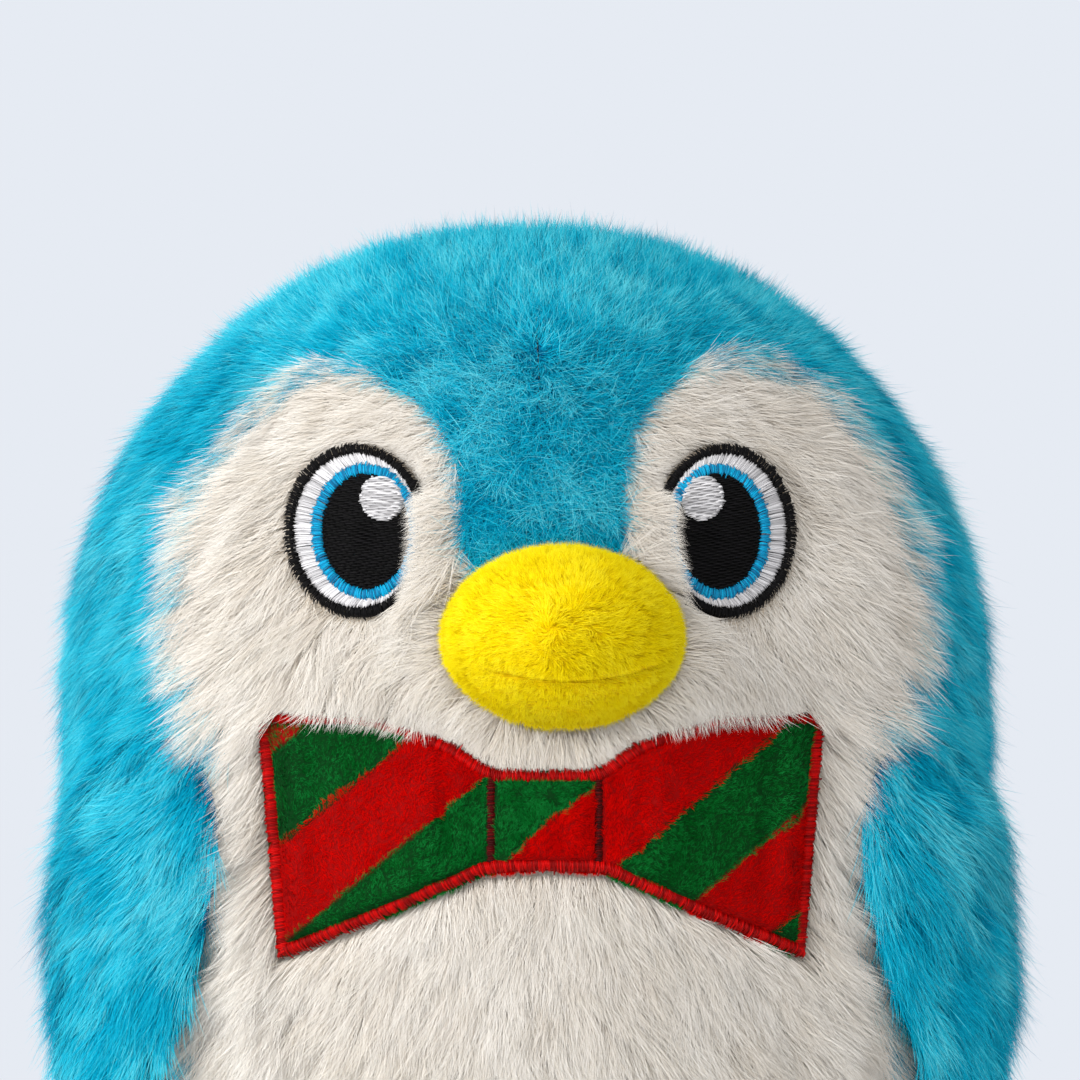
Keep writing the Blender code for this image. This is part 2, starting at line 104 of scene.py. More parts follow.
BOW_HALF_TOP = 0.055
BOW_HALF_BOTTOM = 0.051
BOW_TOP = ((0.0, 0.125), (0.0105, 0.1252), (0.019, 0.131), (0.035, 0.1362), (0.055, 0.1363))
BOW_BOTTOM = ((0.0, 0.1056), (0.011, 0.1054), (0.030, 0.097), (0.051, 0.088))
KNOT_X = 0.0104
BORDER_WIDTH = 0.0027
STRIPE_WIDTH = 0.01493
STRIPE_START = -0.1322


# ---------------------------------------------------------------- numbers: noise, tufts, vectors

def unit(vectors):
    return vectors / np.maximum(np.linalg.norm(vectors, axis=-1, keepdims=True), 1e-12)


def dot(a, b):
    return (a * b).sum(axis=-1, keepdims=True)


def laid_flat(field, normals):
    """Directions of field laid along the surface that has these normals."""
    return unit(field - normals * dot(field, normals))


def smooth(value, low, high):
    """0 below low, 1 above high, and an S between them."""
    share = np.clip((value - low) / (high - low), 0.0, 1.0)
    return share * share * (3.0 - 2.0 * share)


def bell(value, spread):
    """1 where value is 0, falling to 0 on both sides over about spread."""
    return np.exp(-(value / spread) ** 2)


def hashed(cells, seed):
    """Repeatable numbers in 0..1, one for each whole-numbered lattice cell."""
    n = cells.astype(np.int64)
    mixed = (n[:, 0] * 73856093) ^ (n[:, 1] * 19349663) ^ (n[:, 2] * 83492791) ^ (seed * 2654435761)
    mixed = (mixed ^ (mixed >> 15)) * 2246822519 & 0xFFFFFFFF
    mixed = (mixed ^ (mixed >> 13)) * 3266489917 & 0xFFFFFFFF
    return ((mixed ^ (mixed >> 16)) & 0xFFFFFF) / float(0x1000000)


def noise(points, size, seed):
    """Smooth noise in -1..1 with features of about the given size."""
    scaled = points / size
    base = np.floor(scaled)
    part = scaled - base
    part = part * part * (3.0 - 2.0 * part)
    total = np.zeros(len(points))
    for corner in np.ndindex(2, 2, 2):
        weight = np.prod(np.where(corner, part, 1.0 - part), axis=1)
        total += weight * hashed(base + corner, seed)
    return 2.0 * total - 1.0


def noise_vectors(points, size, seed):
    return np.stack([noise(points, size, seed + number) for number in range(3)], axis=1)


def tufts(points, size, seed):
    """The nearest tuft's centre and cell for each root, tufts being about size apart."""
    base = np.floor(points / size)
    nearest = np.full(len(points), np.inf)
    centre = np.zeros_like(points)
    cell = np.zeros_like(points)
    for corner in np.ndindex(3, 3, 3):
        near = base + corner - 1.0
        spot = (near + np.stack([hashed(near, seed + axis) for axis in range(3)], axis=1)) * size
        distance = ((points - spot) ** 2).sum(axis=1)
        closer = distance < nearest
        nearest[closer] = distance[closer]
        centre[closer] = spot[closer]
        cell[closer] = near[closer]
    return centre, cell


# ---------------------------------------------------------------- the body as a surface

def outline_parts(up):
    """The reach and the power of the body's outline, at heights above or below its widest level."""
    return (np.where(up >= 0.0, HEIGHT - WIDEST_Z, LOWER_REACH),
            np.where(up >= 0.0, CROWN_POWER, LOWER_POWER))


def egg_parts(points):
    across = np.maximum(np.hypot(points[:, 0], points[:, 1] / DEPTH_RATIO), 1e-9)
    up = points[:, 2] - WIDEST_Z
    return across, up, *outline_parts(up)


def on_egg(points):
    """Points moved along rays from the body's middle onto its smooth surface."""
    across, up, reach, power = egg_parts(points)
    size = ((across / HALF_WIDTH) ** power + (np.abs(up) / reach) ** power) ** (1.0 / power)
    return BODY_MIDDLE + (points - BODY_MIDDLE) / size[:, None]


def egg_normals(points):
    across, up, reach, power = egg_parts(points)
    level = (across / HALF_WIDTH) ** (power - 1.0) / HALF_WIDTH
    rise = (np.abs(up) / reach) ** (power - 1.0) / reach * np.sign(up)
    slopes = (level * points[:, 0] / across, level * points[:, 1] / (DEPTH_RATIO ** 2 * across), rise)
    return unit(np.stack(slopes, axis=1))


def swelling(points, normals):
    """How far the stuffed front stands off the egg at each point, and the normals tilted to match."""
    height = np.zeros(len(points))
    slope = np.zeros_like(points)
    front = smooth(-points[:, 1], 0.0, 0.03)
    for x, z, spread_x, spread_z, top in SWELLINGS:
        off_x = (points[:, 0] - x) / spread_x
        off_z = (points[:, 2] - z) / spread_z
        bump = top * front * bell(np.hypot(off_x, off_z), 1.0)
        height += bump
        slope[:, 0] -= 2.0 * bump * off_x / spread_x
        slope[:, 2] -= 2.0 * bump * off_z / spread_z
    slope -= normals * dot(slope, normals)
    return height, unit(normals - slope)


def front_point(x, z, lift=0.0):
    """Points on the front of the egg at given x and z, standing off it by lift."""
    x = np.asarray(x, float)
    z = np.asarray(z, float)
    up = z - WIDEST_Z
    reach, power = outline_parts(up)
    half = HALF_WIDTH * (1.0 - np.minimum(np.abs(up) / reach, 1.0) ** power) ** (1.0 / power)
    y = -DEPTH_RATIO * np.sqrt(np.maximum(half ** 2 - x ** 2, 0.0))
    points = np.stack([x, y, z], axis=-1).reshape(-1, 3)
    return points + egg_normals(points) * np.reshape(lift, (-1, 1))


# ---------------------------------------------------------------- materials

def linear(channel):
    value = channel / 255.0
    return value / 12.92 if value <= 0.04045 else ((value + 0.055) / 1.055) ** 2.4


def rgba(colour):
    return (*[linear(c) for c in colour], 1.0)


def material(name, colour, roughness, specular):
    made = bpy.data.materials.new(name)
    made.use_nodes = True
    shader = made.node_tree.nodes["Principled BSDF"]
    shader.inputs["Base Color"].default_value = rgba(colour)
    shader.inputs["Roughness"].default_value = roughness
    shader.inputs["Specular IOR Level"].default_value = specular
    return made


def tone_set(name, *stops, count=6, **finish):
    """A run of strand materials through the colours in stops, for the fine variation between strands, and
    for the painted shade at each strand's root and the partly painted light at its tip.
    """
    made = []
    for step in range(count):
        place = step / (count - 1.0) * (len(stops) - 1.0)
        colour = [np.interp(place, range(len(stops)), channel) for channel in zip(*stops)]
        made.append(material(f"{name}_{step + 1}", colour, **finish))
    return made


class Graph:
    """Short calls for building a procedural material's nodes."""

    def __init__(self, made):
        self.tree = made.node_tree
        self.shader = made.node_tree.nodes["Principled BSDF"]

    def feed(self, socket, value):
        if isinstance(value, bpy.types.NodeSocket):
            self.tree.links.new(value, socket)
        else:
            socket.default_value = value

    def node(self, kind, settings=None, **inputs):
        made = self.tree.nodes.new("ShaderNode" + kind)
        for key, value in (settings or {}).items():
            setattr(made, key, value)
        for key, value in inputs.items():
            self.feed(made.inputs[key.replace("_", " ")], value)
        return made

    def combined(self, operation, first, second, kind="Math"):
        made = self.node(kind, {"operation": operation})
        self.feed(made.inputs[0], first)
        self.feed(made.inputs[1], second)
        return made.outputs["Value"]

    def texture(self, kind, settings=None, **inputs):
        return self.node("Tex" + kind, settings, **inputs).outputs["Fac"]

    def between(self, value, low, high):
        """A value of 0 to 1 moved to the range from low to high."""
        return self.node("MapRange", Value=value, To_Min=low, To_Max=high).outputs["Result"]

    def place(self, scale=(1.0, 1.0, 1.0)):
        coordinates = self.node("TexCoord")
        mapped = self.node("Mapping", Vector=coordinates.outputs["Object"])
        mapped.inputs["Scale"].default_value = scale
        return mapped.outputs["Vector"]

    def ramp(self, factor, stops):
        made = self.node("ValToRGB", Fac=factor)
        elements = made.color_ramp.elements
        while len(elements) < len(stops):
            elements.new(0.5)
        for element, (position, colour) in zip(elements, stops):
            element.position = position
            element.color = rgba(colour)
        return made.outputs["Color"]

    def finish(self, colour, roughness, bump, strength, distance):
        relief = self.node("Bump", Height=bump, Strength=strength, Distance=distance)
        self.feed(self.shader.inputs["Base Color"], colour)
        self.feed(self.shader.inputs["Roughness"], roughness)
        self.feed(self.shader.inputs["Normal"], relief.outputs["Normal"])


def backing_material(name, dark, light, scale=900.0):
    """Knitted backing cloth between the strands: a fine mottle with the ribs of the knit."""
    made = material(name, light, roughness=0.9, specular=0.1)
    graph = Graph(made)
    spot = graph.texture("Noise", Vector=graph.place(), Scale=scale, Detail=3.0)
    ribs = graph.texture("Wave", {"bands_direction": "Z"}, Vector=graph.place(), Scale=scale * 0.6,
                         Distortion=2.0)
    rough = graph.between(spot, 0.8, 0.98)
    graph.finish(graph.ramp(spot, ((0.3, dark), (0.7, light))), rough, ribs, 0.6, 0.0003)
    return made


def filling_material(name, dark, light, scale=260.0):
    """Matted polyester fibre."""
    made = material(name, light, roughness=0.95, specular=0.1)
    graph = Graph(made)
    wisps = graph.texture("Noise", Vector=graph.place((1.0, 1.0, 3.0)), Scale=scale, Detail=5.0,
                          Distortion=1.5)
    rough = graph.between(wisps, 0.85, 1.0)
    graph.finish(graph.ramp(wisps, ((0.3, dark), (0.65, light))), rough, wisps, 0.8, 0.0008)
    return made


def weave_material(name, dark, light, threads, roughness):
    """Plain weave with a thread every 1/threads metre or so."""
    made = material(name, light, roughness=roughness, specular=0.3)
    graph = Graph(made)
    across, along = [graph.texture("Wave", {"bands_direction": way}, Vector=graph.place(),
                                   Scale=threads * 0.3, Distortion=0.6) for way in "XZ"]
    woven = graph.combined("MULTIPLY", across, along)
    rough = graph.between(woven, roughness, roughness - 0.15)
    graph.finish(graph.ramp(woven, ((0.0, dark), (0.6, light))), rough, woven, 0.5, 0.0002)
    return made


BLUE_TONES = tone_set("blue_pile", (0, 120, 158), (0, 176, 210), (104, 220, 236),
                      roughness=0.8, specular=0.04)
WHITE_TONES = tone_set("white_pile", (210, 200, 186), (233, 227, 218), (245, 242, 237),
                       roughness=0.8, specular=0.05)
YELLOW_TONES = tone_set("yellow_pile", (222, 186, 0), (246, 222, 0), (255, 238, 40),
                        roughness=0.8, specular=0.04)
RED_TONES = tone_set("red_nap", (136, 0, 0), (190, 0, 0), (214, 6, 0), roughness=0.85, specular=0.03)
GREEN_TONES = tone_set("green_nap", (0, 48, 8), (0, 88, 27), (22, 128, 56), roughness=0.85, specular=0.03)
BLACK_THREAD = tone_set("black_thread", (3, 3, 4), (10, 9, 12),
                        count=3, roughness=0.6, specular=0.14)
WHITE_THREAD = tone_set("white_thread", (184, 183, 186), (228, 227, 230),
                        count=3, roughness=0.5, specular=0.3)
IRIS_THREAD = tone_set("iris_thread", (0, 112, 158), (0, 168, 214), count=3, roughness=0.5, specular=0.2)
RED_THREAD = tone_set("red_thread", (132, 0, 0), (192, 0, 0), count=3, roughness=0.55, specular=0.12)
# Painted shade: the knot's thread is far darker than the border's red, standing in for the shade in the
# recess between the puffed fabric beside the knot.
SHADED_KNOT_THREAD = tone_set("shaded_knot_thread", (52, 0, 0), (92, 0, 0), count=3, roughness=0.5, specular=0.15)

BLUE_BACKING = backing_material("blue_backing", (0, 84, 122), (0, 124, 168))
WHITE_BACKING = backing_material("white_backing", (206, 192, 172), (232, 220, 204))
YELLOW_BACKING = backing_material("yellow_backing", (214, 174, 0), (240, 208, 0))
FILLING = filling_material("polyester_filling", (218, 218, 212), (248, 248, 245))
POUCH_CLOTH = weave_material("pouch_cloth", (196, 190, 178), (230, 226, 216), 1100.0, 0.8)
RIBBON = weave_material("label_ribbon", (206, 202, 194), (236, 233, 226), 2400.0, 0.45)


# ---------------------------------------------------------------- pile

@dataclass
class Pile:
    """How one kind of pile grows. Lengths in metres, angles in degrees off the cloth.

    Strands gather in small tufts, and tufts in larger locks.
    """
    tones: list
    slot: str
    length: float = 0.0112
    width: float = 0.00015
    density: float = 10.0e6
    depth: float = 0.0026
    root_lift: float = 42.0
    tip_lift: float = 7.0
    tuft: float = 0.0017
    clump: float = 0.30
    tuft_turn: float = 9.0
    lock: float = 0.0055
    lock_pull: float = 0.10
    lock_turn: float = 9.0
    lock_tone: float = 1.3
    loose: float = 0.05
    stray: float = 9.0
    frizz: float = 0.0005
    steps: int = 3


BEAK_PILE = Pile(YELLOW_TONES, "yellow_plush", length=0.0026, width=0.00017, density=14.0e6, depth=0.0011,
                 root_lift=58.0, tip_lift=24.0, tuft=0.0014, clump=0.35, tuft_turn=22.0, lock=0.004,
                 lock_turn=16.0, stray=20.0, frizz=0.0002, steps=2)
FOOT_PILE = replace(BEAK_PILE, density=7.0e6, width=0.00024)
FLIPPER_PILE = Pile(BLUE_TONES, "blue_fur", length=0.0130, width=0.00018, density=7.0e6, depth=0.0018,
                    tip_lift=6.0, lock=0.0042, lock_pull=0.26, lock_tone=2.4)
FLIPPER_LINING = replace(FLIPPER_PILE, length=0.0080, width=0.00022, density=3.0e6, root_lift=32.0)
TAIL_PILE = replace(FLIPPER_PILE, length=0.0090, density=4.5e6)
NAP = Pile(RED_TONES, "bow_fabric", length=0.0015, width=0.00017, density=20.0e6, depth=0.0003,
           root_lift=55.0, tip_lift=22.0, tuft=0.0011, clump=0.35, tuft_turn=22.0, lock=0.0032,
           lock_turn=20.0, stray=22.0, frizz=0.00012, steps=2)
FOOT_CENTRE_Z = 0.006
MOST_STRANDS = 36000
LOOSE_LIFT = 20.0
LEAST_CLEAR = 0.12
TIP_WIDTH = 0.45
LOWEST_STRAND = 0.0006
LOCK_STRETCH = 2.4
LOCK_SLANT = math.radians(34.0)
SHADE_FROM_CLOTH = 0.80


def strand_mesh(name, points, sides, half_widths, normals, tone, tones):
    """Flat tapering strands as one mesh. Row by row, points holds every strand from root to tip."""
    steps = len(points) - 1
    count = points.shape[1]
    width = half_widths[None, :] * np.linspace(1.0, TIP_WIDTH, steps)[:, None]
    each = 2 * steps + 1
    verts = np.empty((count, each, 3), np.float32)
    verts[:, 0:2 * steps:2] = (points[:steps] - sides[:steps] * width[..., None]).transpose(1, 0, 2)
    verts[:, 1:2 * steps:2] = (points[:steps] + sides[:steps] * width[..., None]).transpose(1, 0, 2)
    verts[:, -1] = points[-1]
    pattern = []
    starts = []
    for step in range(steps - 1):
        starts.append(len(pattern))
        pattern += [2 * step, 2 * step + 1, 2 * step + 3, 2 * step + 2]
    starts.append(len(pattern))
    pattern += [2 * steps - 2, 2 * steps - 1, 2 * steps]
    strand = np.arange(count)[:, None]
    corners = (strand * each + np.array(pattern)).ravel().astype(np.int32)
    faces = (strand * len(pattern) + np.array(starts)).ravel().astype(np.int32)
    # Painted shade and light: each strand's root segment takes a darker tone than its own, for the shade
    # deep in the pile between strands. Its tip takes a lighter tone, partly the pile's paler tips and
    # partly painted light caught in them.
    root_shade_tip_light = np.linspace(-1, 1, steps).round().astype(int)
    shown = np.clip(tone[:, None] + root_shade_tip_light[None, :], 0, len(tones) - 1)

    mesh = bpy.data.meshes.new(name)
    mesh.vertices.add(count * each)
    mesh.vertices.foreach_set("co", verts.ravel())
    mesh.loops.add(len(corners))
    mesh.loops.foreach_set("vertex_index", corners)
    mesh.polygons.add(len(faces))
    mesh.polygons.foreach_set("loop_start", faces)
    mesh.polygons.foreach_set("use_smooth", np.ones(len(faces), bool))
    mesh.polygons.foreach_set("material_index", shown.ravel().astype(np.int32))
    mesh.update(calc_edges=True)
    shading = mesh.attributes.new("custom_normal", "FLOAT_VECTOR", "POINT")
    shading.data.foreach_set("vector", np.repeat(normals, each, axis=0).astype(np.float32).ravel())
    for made in tones:
        mesh.materials.append(made)
    return mesh


def plant(name, body, pile, roots, normals, flow, seed, length=1.0, keep_off=(), lift=0.0, chaos=0.0,
          wide=1.0, light_from=None, grain=None):
    """Grows pile from roots on the cloth, with its nap along flow, as pieces that ride on body.

    length scales each strand and wide its width. lift adds degrees to its slope, and chaos (0 to 1) lets it
    stray. keep_off holds functions that give how much of each strand's length is clear of its neighbours.
    light_from are the normals that the pile is shaded by, where they aren't the cloth's. Locks are longer
    along grain.
    """
    count = len(roots)
    random = np.random.default_rng(seed)
    centre, cell = tufts(roots, pile.tuft, seed)
    own = [hashed(cell, seed + 10 + number) for number in range(4)]
    spread = roots if grain is None else roots - grain * dot(roots, grain) * (1.0 - 1.0 / LOCK_STRETCH)
    lock_centre, lock_cell = tufts(spread, pile.lock, seed + 60)
    of_lock = [hashed(lock_cell, seed + 70 + number) for number in range(4)]
    wild = np.broadcast_to(chaos, count)
    turn = np.radians(pile.tuft_turn * (3.0 * own[0] - 1.5) + pile.lock_turn * (3.0 * of_lock[0] - 1.5)
                      + (pile.stray + 42.0 * wild) * random.standard_normal(count))
    across = np.cross(normals, flow)
    heading = flow * np.cos(turn)[:, None] + across * np.sin(turn)[:, None]
    reach = pile.length * np.broadcast_to(length, count) * (0.80 + 0.16 * own[1] + 0.24 * of_lock[1])
    reach = reach * random.uniform(0.70, 1.10, count)
    extra = np.radians(np.broadcast_to(lift, count) + 7.0 * (own[2] - 0.5) + 9.0 * (of_lock[2] - 0.5)
                       + (6.0 + 14.0 * wild) * random.standard_normal(count))
    extra += math.radians(LOOSE_LIFT) * (random.random(count) < pile.loose)

    points = np.empty((pile.steps + 1, count, 3))
    points[0] = roots
    tangents = np.empty((pile.steps, count, 3))
    for step in range(pile.steps):
        share = (step + 0.5) / pile.steps
        slope = math.radians(pile.root_lift + (pile.tip_lift - pile.root_lift) * share)
        slope = slope + extra * (0.4 + share)
        tangents[step] = heading * np.cos(slope)[:, None] + normals * np.sin(slope)[:, None]
        points[step + 1] = points[step] + tangents[step] * (reach / pile.steps)[:, None]

    pull = pile.clump * (centre - roots) + pile.lock_pull * (lock_centre - spread)
    pull -= normals * dot(pull, normals)
    frizz = pile.frizz * random.standard_normal((count, 3)) * (1.0 + 2.2 * wild)[:, None]
    for step in range(1, pile.steps + 1):
        share = step / pile.steps
        points[step] += pull * share ** 1.4 + frizz * share ** 2

    clear = np.ones(count)
    for rule in keep_off:
        clear = np.minimum(clear, rule(points))
    points = points[0] + (points - points[0]) * clear[:, None]
    points[..., 2] = np.maximum(points[..., 2], LOWEST_STRAND)
    grown = clear > LEAST_CLEAR

    twist = np.radians(random.uniform(-32.0, 32.0, count))[:, None]
    flat = unit(np.cross(tangents, normals[None]))
    sides = flat * np.cos(twist) + np.cross(tangents, flat) * np.sin(twist)
    face = unit(np.cross(sides, tangents)).mean(axis=0)
    shading = unit(SHADE_FROM_CLOTH * (normals if light_from is None else light_from)
                   + (1.0 - SHADE_FROM_CLOTH) * face)
    half_widths = 0.5 * pile.width * wide * random.uniform(0.75, 1.25, count)
    middle = (len(pile.tones) - 1) / 2.0
    drift = 0.5 * noise(roots, 0.012, seed + 30) + 0.9 * (own[3] - 0.5)
    drift += pile.lock_tone * (of_lock[3] - 0.5)
    drift += (0.55 + 0.5 * wild) * random.standard_normal(count)
    tone = np.clip(np.round(middle + drift), 0, len(pile.tones) - 1).astype(int)

    chosen = np.flatnonzero(grown)
    parts = max(1, math.ceil(len(chosen) / MOST_STRANDS))
    for number, some in enumerate(np.array_split(chosen, parts)):
        label = name if parts == 1 else f"{name}_{number + 1}"
        mesh = strand_mesh(label, points[:, some], sides[:, some], half_widths[some], shading[some],
                           tone[some], pile.tones)
        add_piece(label, mesh, body, pile.slot)


# ---------------------------------------------------------------- pieces

def linked(name, data):
    obj = bpy.data.objects.new(name, data)
    bpy.context.scene.collection.objects.link(obj)
    return obj


def add_piece(name, mesh, body, slot, *replaced):
    obj = linked(name, mesh)
    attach(obj, body)
    if replaced:
        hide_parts(*replaced)
    return obj


def set_material(mesh, made):
    mesh.materials.clear()
    mesh.materials.append(made)


def coordinates(mesh):
    flat = np.zeros(len(mesh.vertices) * 3)
    mesh.vertices.foreach_get("co", flat)
    return flat.reshape(-1, 3)


def triangles_of(node):
    """Corners of a CAD node's triangles, as an array of (triangle, corner, xyz)."""
    mesh = frame["nodes"][node].data
    mesh.calc_loop_triangles()
    corners = np.zeros(len(mesh.loop_triangles) * 3, np.int32)
    mesh.loop_triangles.foreach_get("vertices", corners)
    return coordinates(mesh)[corners.reshape(-1, 3)]


def spanned(corners):
    """The cross product of two sides of each triangle: its normal, twice its area long."""
    return np.cross(corners[:, 1] - corners[:, 0], corners[:, 2] - corners[:, 0])


def scattered(corners, density, seed):
    """Points spread evenly at random over triangles."""
    sizes = np.linalg.norm(spanned(corners), axis=1) / 2.0
    count = int(sizes.sum() * density)
    random = np.random.default_rng(seed)
    chosen = random.choice(len(corners), count, p=sizes / sizes.sum())
    a, b = random.random((2, count, 1))
    over = (a + b) > 1.0
    a = np.where(over, 1.0 - a, a)
    b = np.where(over, 1.0 - b, b)
    picked = corners[chosen]
    return picked[:, 0] + (picked[:, 1] - picked[:, 0]) * a + (picked[:, 2] - picked[:, 0]) * b


FACING_OUT = 0.45


def outer_triangles(node, direction):
    """A node's triangles that face along direction(middles)."""
    corners = triangles_of(node)
    return corners[dot(unit(spanned(corners)), direction(corners.mean(axis=1)))[:, 0] > FACING_OUT]


# ---------------------------------------------------------------- nap of the body

NAP_HEIGHTS = (0.020, 0.060, 0.120, 0.140, 0.165, 0.185, 0.205, 0.225)
NAP_TURNS = (16.0, 22.0, 30.0, 34.0, 38.0, 46.0, 60.0, 84.0)
NAP_BACKWARD = 0.22
CROWN_START = 0.200
CROWN_FULL = 0.226


def nap(points, normals, on_face):
    """The direction that the pile lies in: down and outwards from the middle, backwards at the sides."""
    x, y, z = points.T
    turn = np.radians(np.interp(z, NAP_HEIGHTS, NAP_TURNS))
    turn *= 1.0 - 0.75 * smooth(y, 0.0, 0.05)
    parting = np.interp(z, (0.120, 0.180), (0.035, 0.018))
    side = x / np.hypot(x, parting)
    if on_face:
        under_eye = (1.0 - smooth(np.abs(x), 0.036, 0.060)) * (1.0 - smooth(z, 0.160, 0.178))
        turn *= 1.0 - 0.85 * under_eye
    crown = smooth(z, CROWN_START, CROWN_FULL)
    sideways = side * np.sin(turn) * (1.0 - 0.5 * crown)
    field = np.stack([sideways, NAP_BACKWARD + 0.9 * crown, -np.cos(turn)], axis=1)
    if on_face:
        away = points - BEAK_CENTRE
        away[:, 1] = 0.0
        near = 0.8 * bell(np.maximum(beak_distance(points) - 1.0, 0.0), 0.26)[:, None]
        field = field * (1.0 - near) + unit(away) * near
        inner = beside_eye(points)[:, None]
        to_eye = np.stack([np.sign(x), np.zeros_like(x), np.full_like(x, -0.38)], axis=1)
        field = field * (1.0 - 0.85 * inner) + 0.85 * inner * to_eye
    wobble = np.radians(14.0) * noise(points, 0.014, 5) + np.radians(8.0) * noise(points, 0.005, 6)
    field = laid_flat(field, normals)
    return field * np.cos(wobble)[:, None] + np.cross(normals, field) * np.sin(wobble)[:, None]


def eye_distance(points):
    """How far each point is from the eye's centre, as a share of the eye's rim."""
    return np.hypot((np.abs(points[:, 0]) - EYE_X) / EYE_SEMI[0], (points[:, 2] - EYE_Z) / EYE_SEMI[1])


def beak_distance(points, inset=0.0):
    """How far each point is from the beak's middle, as a share of the beak's rim moved in by inset."""
    return np.linalg.norm((points - BEAK_CENTRE)[:, (0, 2)] / (BEAK_SEMI[[0, 2]] - inset), axis=1)


def beside_eye(points):
    """1 where pile stands just beside an eye on the beak's side, and 0 elsewhere."""
    lean = (EYE_X - np.abs(points[:, 0])) / EYE_SEMI[0]
    height = (points[:, 2] - EYE_Z) / EYE_SEMI[1]
    level = smooth(0.85 - np.abs(height + 0.15), 0.0, 0.4)
    return smooth(lean, 0.45, 0.9) * level * (1.0 - smooth(eye_distance(points), 1.25, 1.7))


TRIALS = (1.0, 0.85, 0.7, 0.55, 0.42, 0.3, 0.2, 0.1)
LONE_SHARE = 0.20


def lone(roots, seed):
    """True for the few strands that reach further over an edge than their neighbours."""
    return hashed(np.floor(roots / 0.00005), seed) < LONE_SHARE


def longest_clear(points, inside):
    """The largest share of each strand's length at which inside(points) is false all along it."""
    best = np.full(points.shape[1], TRIALS[-1])
    settled = np.zeros(points.shape[1], bool)
    for share in TRIALS:
        shrunk = points[0] + (points[1:] - points[0]) * share
        clear = ~np.any([inside(row) for row in shrunk], axis=0)
        best[clear & ~settled] = share
        settled |= clear
    return best


def off_eyes(points):
    """Pile stops at the eye's rim, and laps over it only on the side near the beak."""
    lap = 0.66 + 0.20 * noise(points[0], 0.0012, 71) + 0.30 * lone(points[0], 73)

    def inside(p):
        toward_beak = smooth((EYE_X - np.abs(p[:, 0])) / EYE_SEMI[0], 0.30, 0.75)
        height = (p[:, 2] - EYE_Z) / EYE_SEMI[1]
        limit = 1.0 - lap * toward_beak * smooth(0.80 - np.abs(height + 0.22), 0.0, 0.45)
        return (p[:, 1] < 0.0) & (eye_distance(p) < limit)
    return longest_clear(points, inside)


def off_beak(points):
    """Pile stops at the beak's cloth."""
    def inside(p):
        off = (p - BEAK_CENTRE) / (BEAK_SEMI - 0.0006)
        return (off ** 2).sum(axis=1) < 1.0
    return longest_clear(points, inside)


def bow_edges(x):
    """Heights of the bow tie's bottom and top edges at x, with the corners of the outline rounded."""
    spread = 0.0025
    offsets = np.linspace(-spread, spread, 7)
    far = np.abs(x)[..., None] + offsets
    bottom = np.interp(np.abs(far), *zip(*BOW_BOTTOM)).mean(axis=-1)
    top = np.interp(np.abs(far), *zip(*BOW_TOP)).mean(axis=-1)
    return bottom, top


def bow_half(up):
    """Half of the bow tie's width at up, which is 0 at its bottom edge and 1 at its top."""
    return BOW_HALF_BOTTOM + (BOW_HALF_TOP - BOW_HALF_BOTTOM) * up


def in_bow(x, z, margin):
    bottom, top = bow_edges(x)
    half = bow_half(np.clip((z - bottom) / (top - bottom), 0.0, 1.0))
    return (np.abs(x) < half + margin) & (z < top + margin) & (z > bottom - margin)


CHIN_LAP = ((0.017, 0.0005), (0.028, 0.0015), (0.042, 0.0013), (0.050, 0.0005))
LONE_LAP = 0.0028


def off_bow(points):
    """Pile from the chin laps over the bow tie's top edge; its other edges stay clear."""
    reach = np.interp(np.abs(points[0][:, 0]), *zip(*CHIN_LAP))
    lap = reach * (1.0 + 0.6 * noise(points[0], 0.0014, 77) + 0.3 * noise(points[0], 0.009, 78))
    lap += LONE_LAP * lone(points[0], 79) * smooth(reach, 0.0006, 0.0013)

    def inside(p):
        top = bow_edges(p[:, 0])[1]
        return (p[:, 1] < 0.0) & in_bow(p[:, 0], p[:, 2], -0.0002) & (p[:, 2] < top - lap)
    return longest_clear(points, inside)


# ---------------------------------------------------------------- body

LONG_PILE = Pile(BLUE_TONES, "blue_fur", length=0.0120, lock=0.0042, lock_pull=0.26, lock_tone=2.3)
WHITE_PILE = Pile(WHITE_TONES, "white_fur", lock=0.0038, lock_pull=0.20, lock_turn=11.0)
SKIN_DEPTH = 0.0025
OUTER_FACE_WITHIN = 0.0022
SEAM_SPREAD = 0.0025
FLOOR_CLEAR = 0.0015
UNDER_BEAK = 0.0020
UNDER_BOW = 0.0006
CHIN_SPREAD = 0.0035
SPARSE = 0.42
LIGHT_WRAP = 0.30
LIGHT_WRAP_RIGHT = 0.25
LIGHT_TOWARD = np.array((0.0, -1.0, 0.12))


def outward(points):
    return egg_normals(on_egg(points))


def over_flipper(points):
    """1 for pile rooted just above or just in front of a flipper, which laps over its edge, else 0."""
    over = np.zeros(len(points))
    for side in ("left", "right"):
        hinge, axes = flipper_frame(side)
        _, across, up = ((points - hinge) @ axes.T).T
        forward = -across if side == "right" else across
        above = smooth(up, 0.0, 0.004) * (1.0 - smooth(up, 0.008, 0.014))
        above = (1.0 - smooth(np.abs(across), 0.012, 0.026)) * above
        beside = smooth(forward, 0.018, 0.022) * (1.0 - smooth(forward, 0.027, 0.034))
        beside = beside * smooth(up, -0.070, -0.055) * (1.0 - smooth(up, 0.0, 0.010))
        over = np.maximum(over, np.maximum(above, beside))
    return over


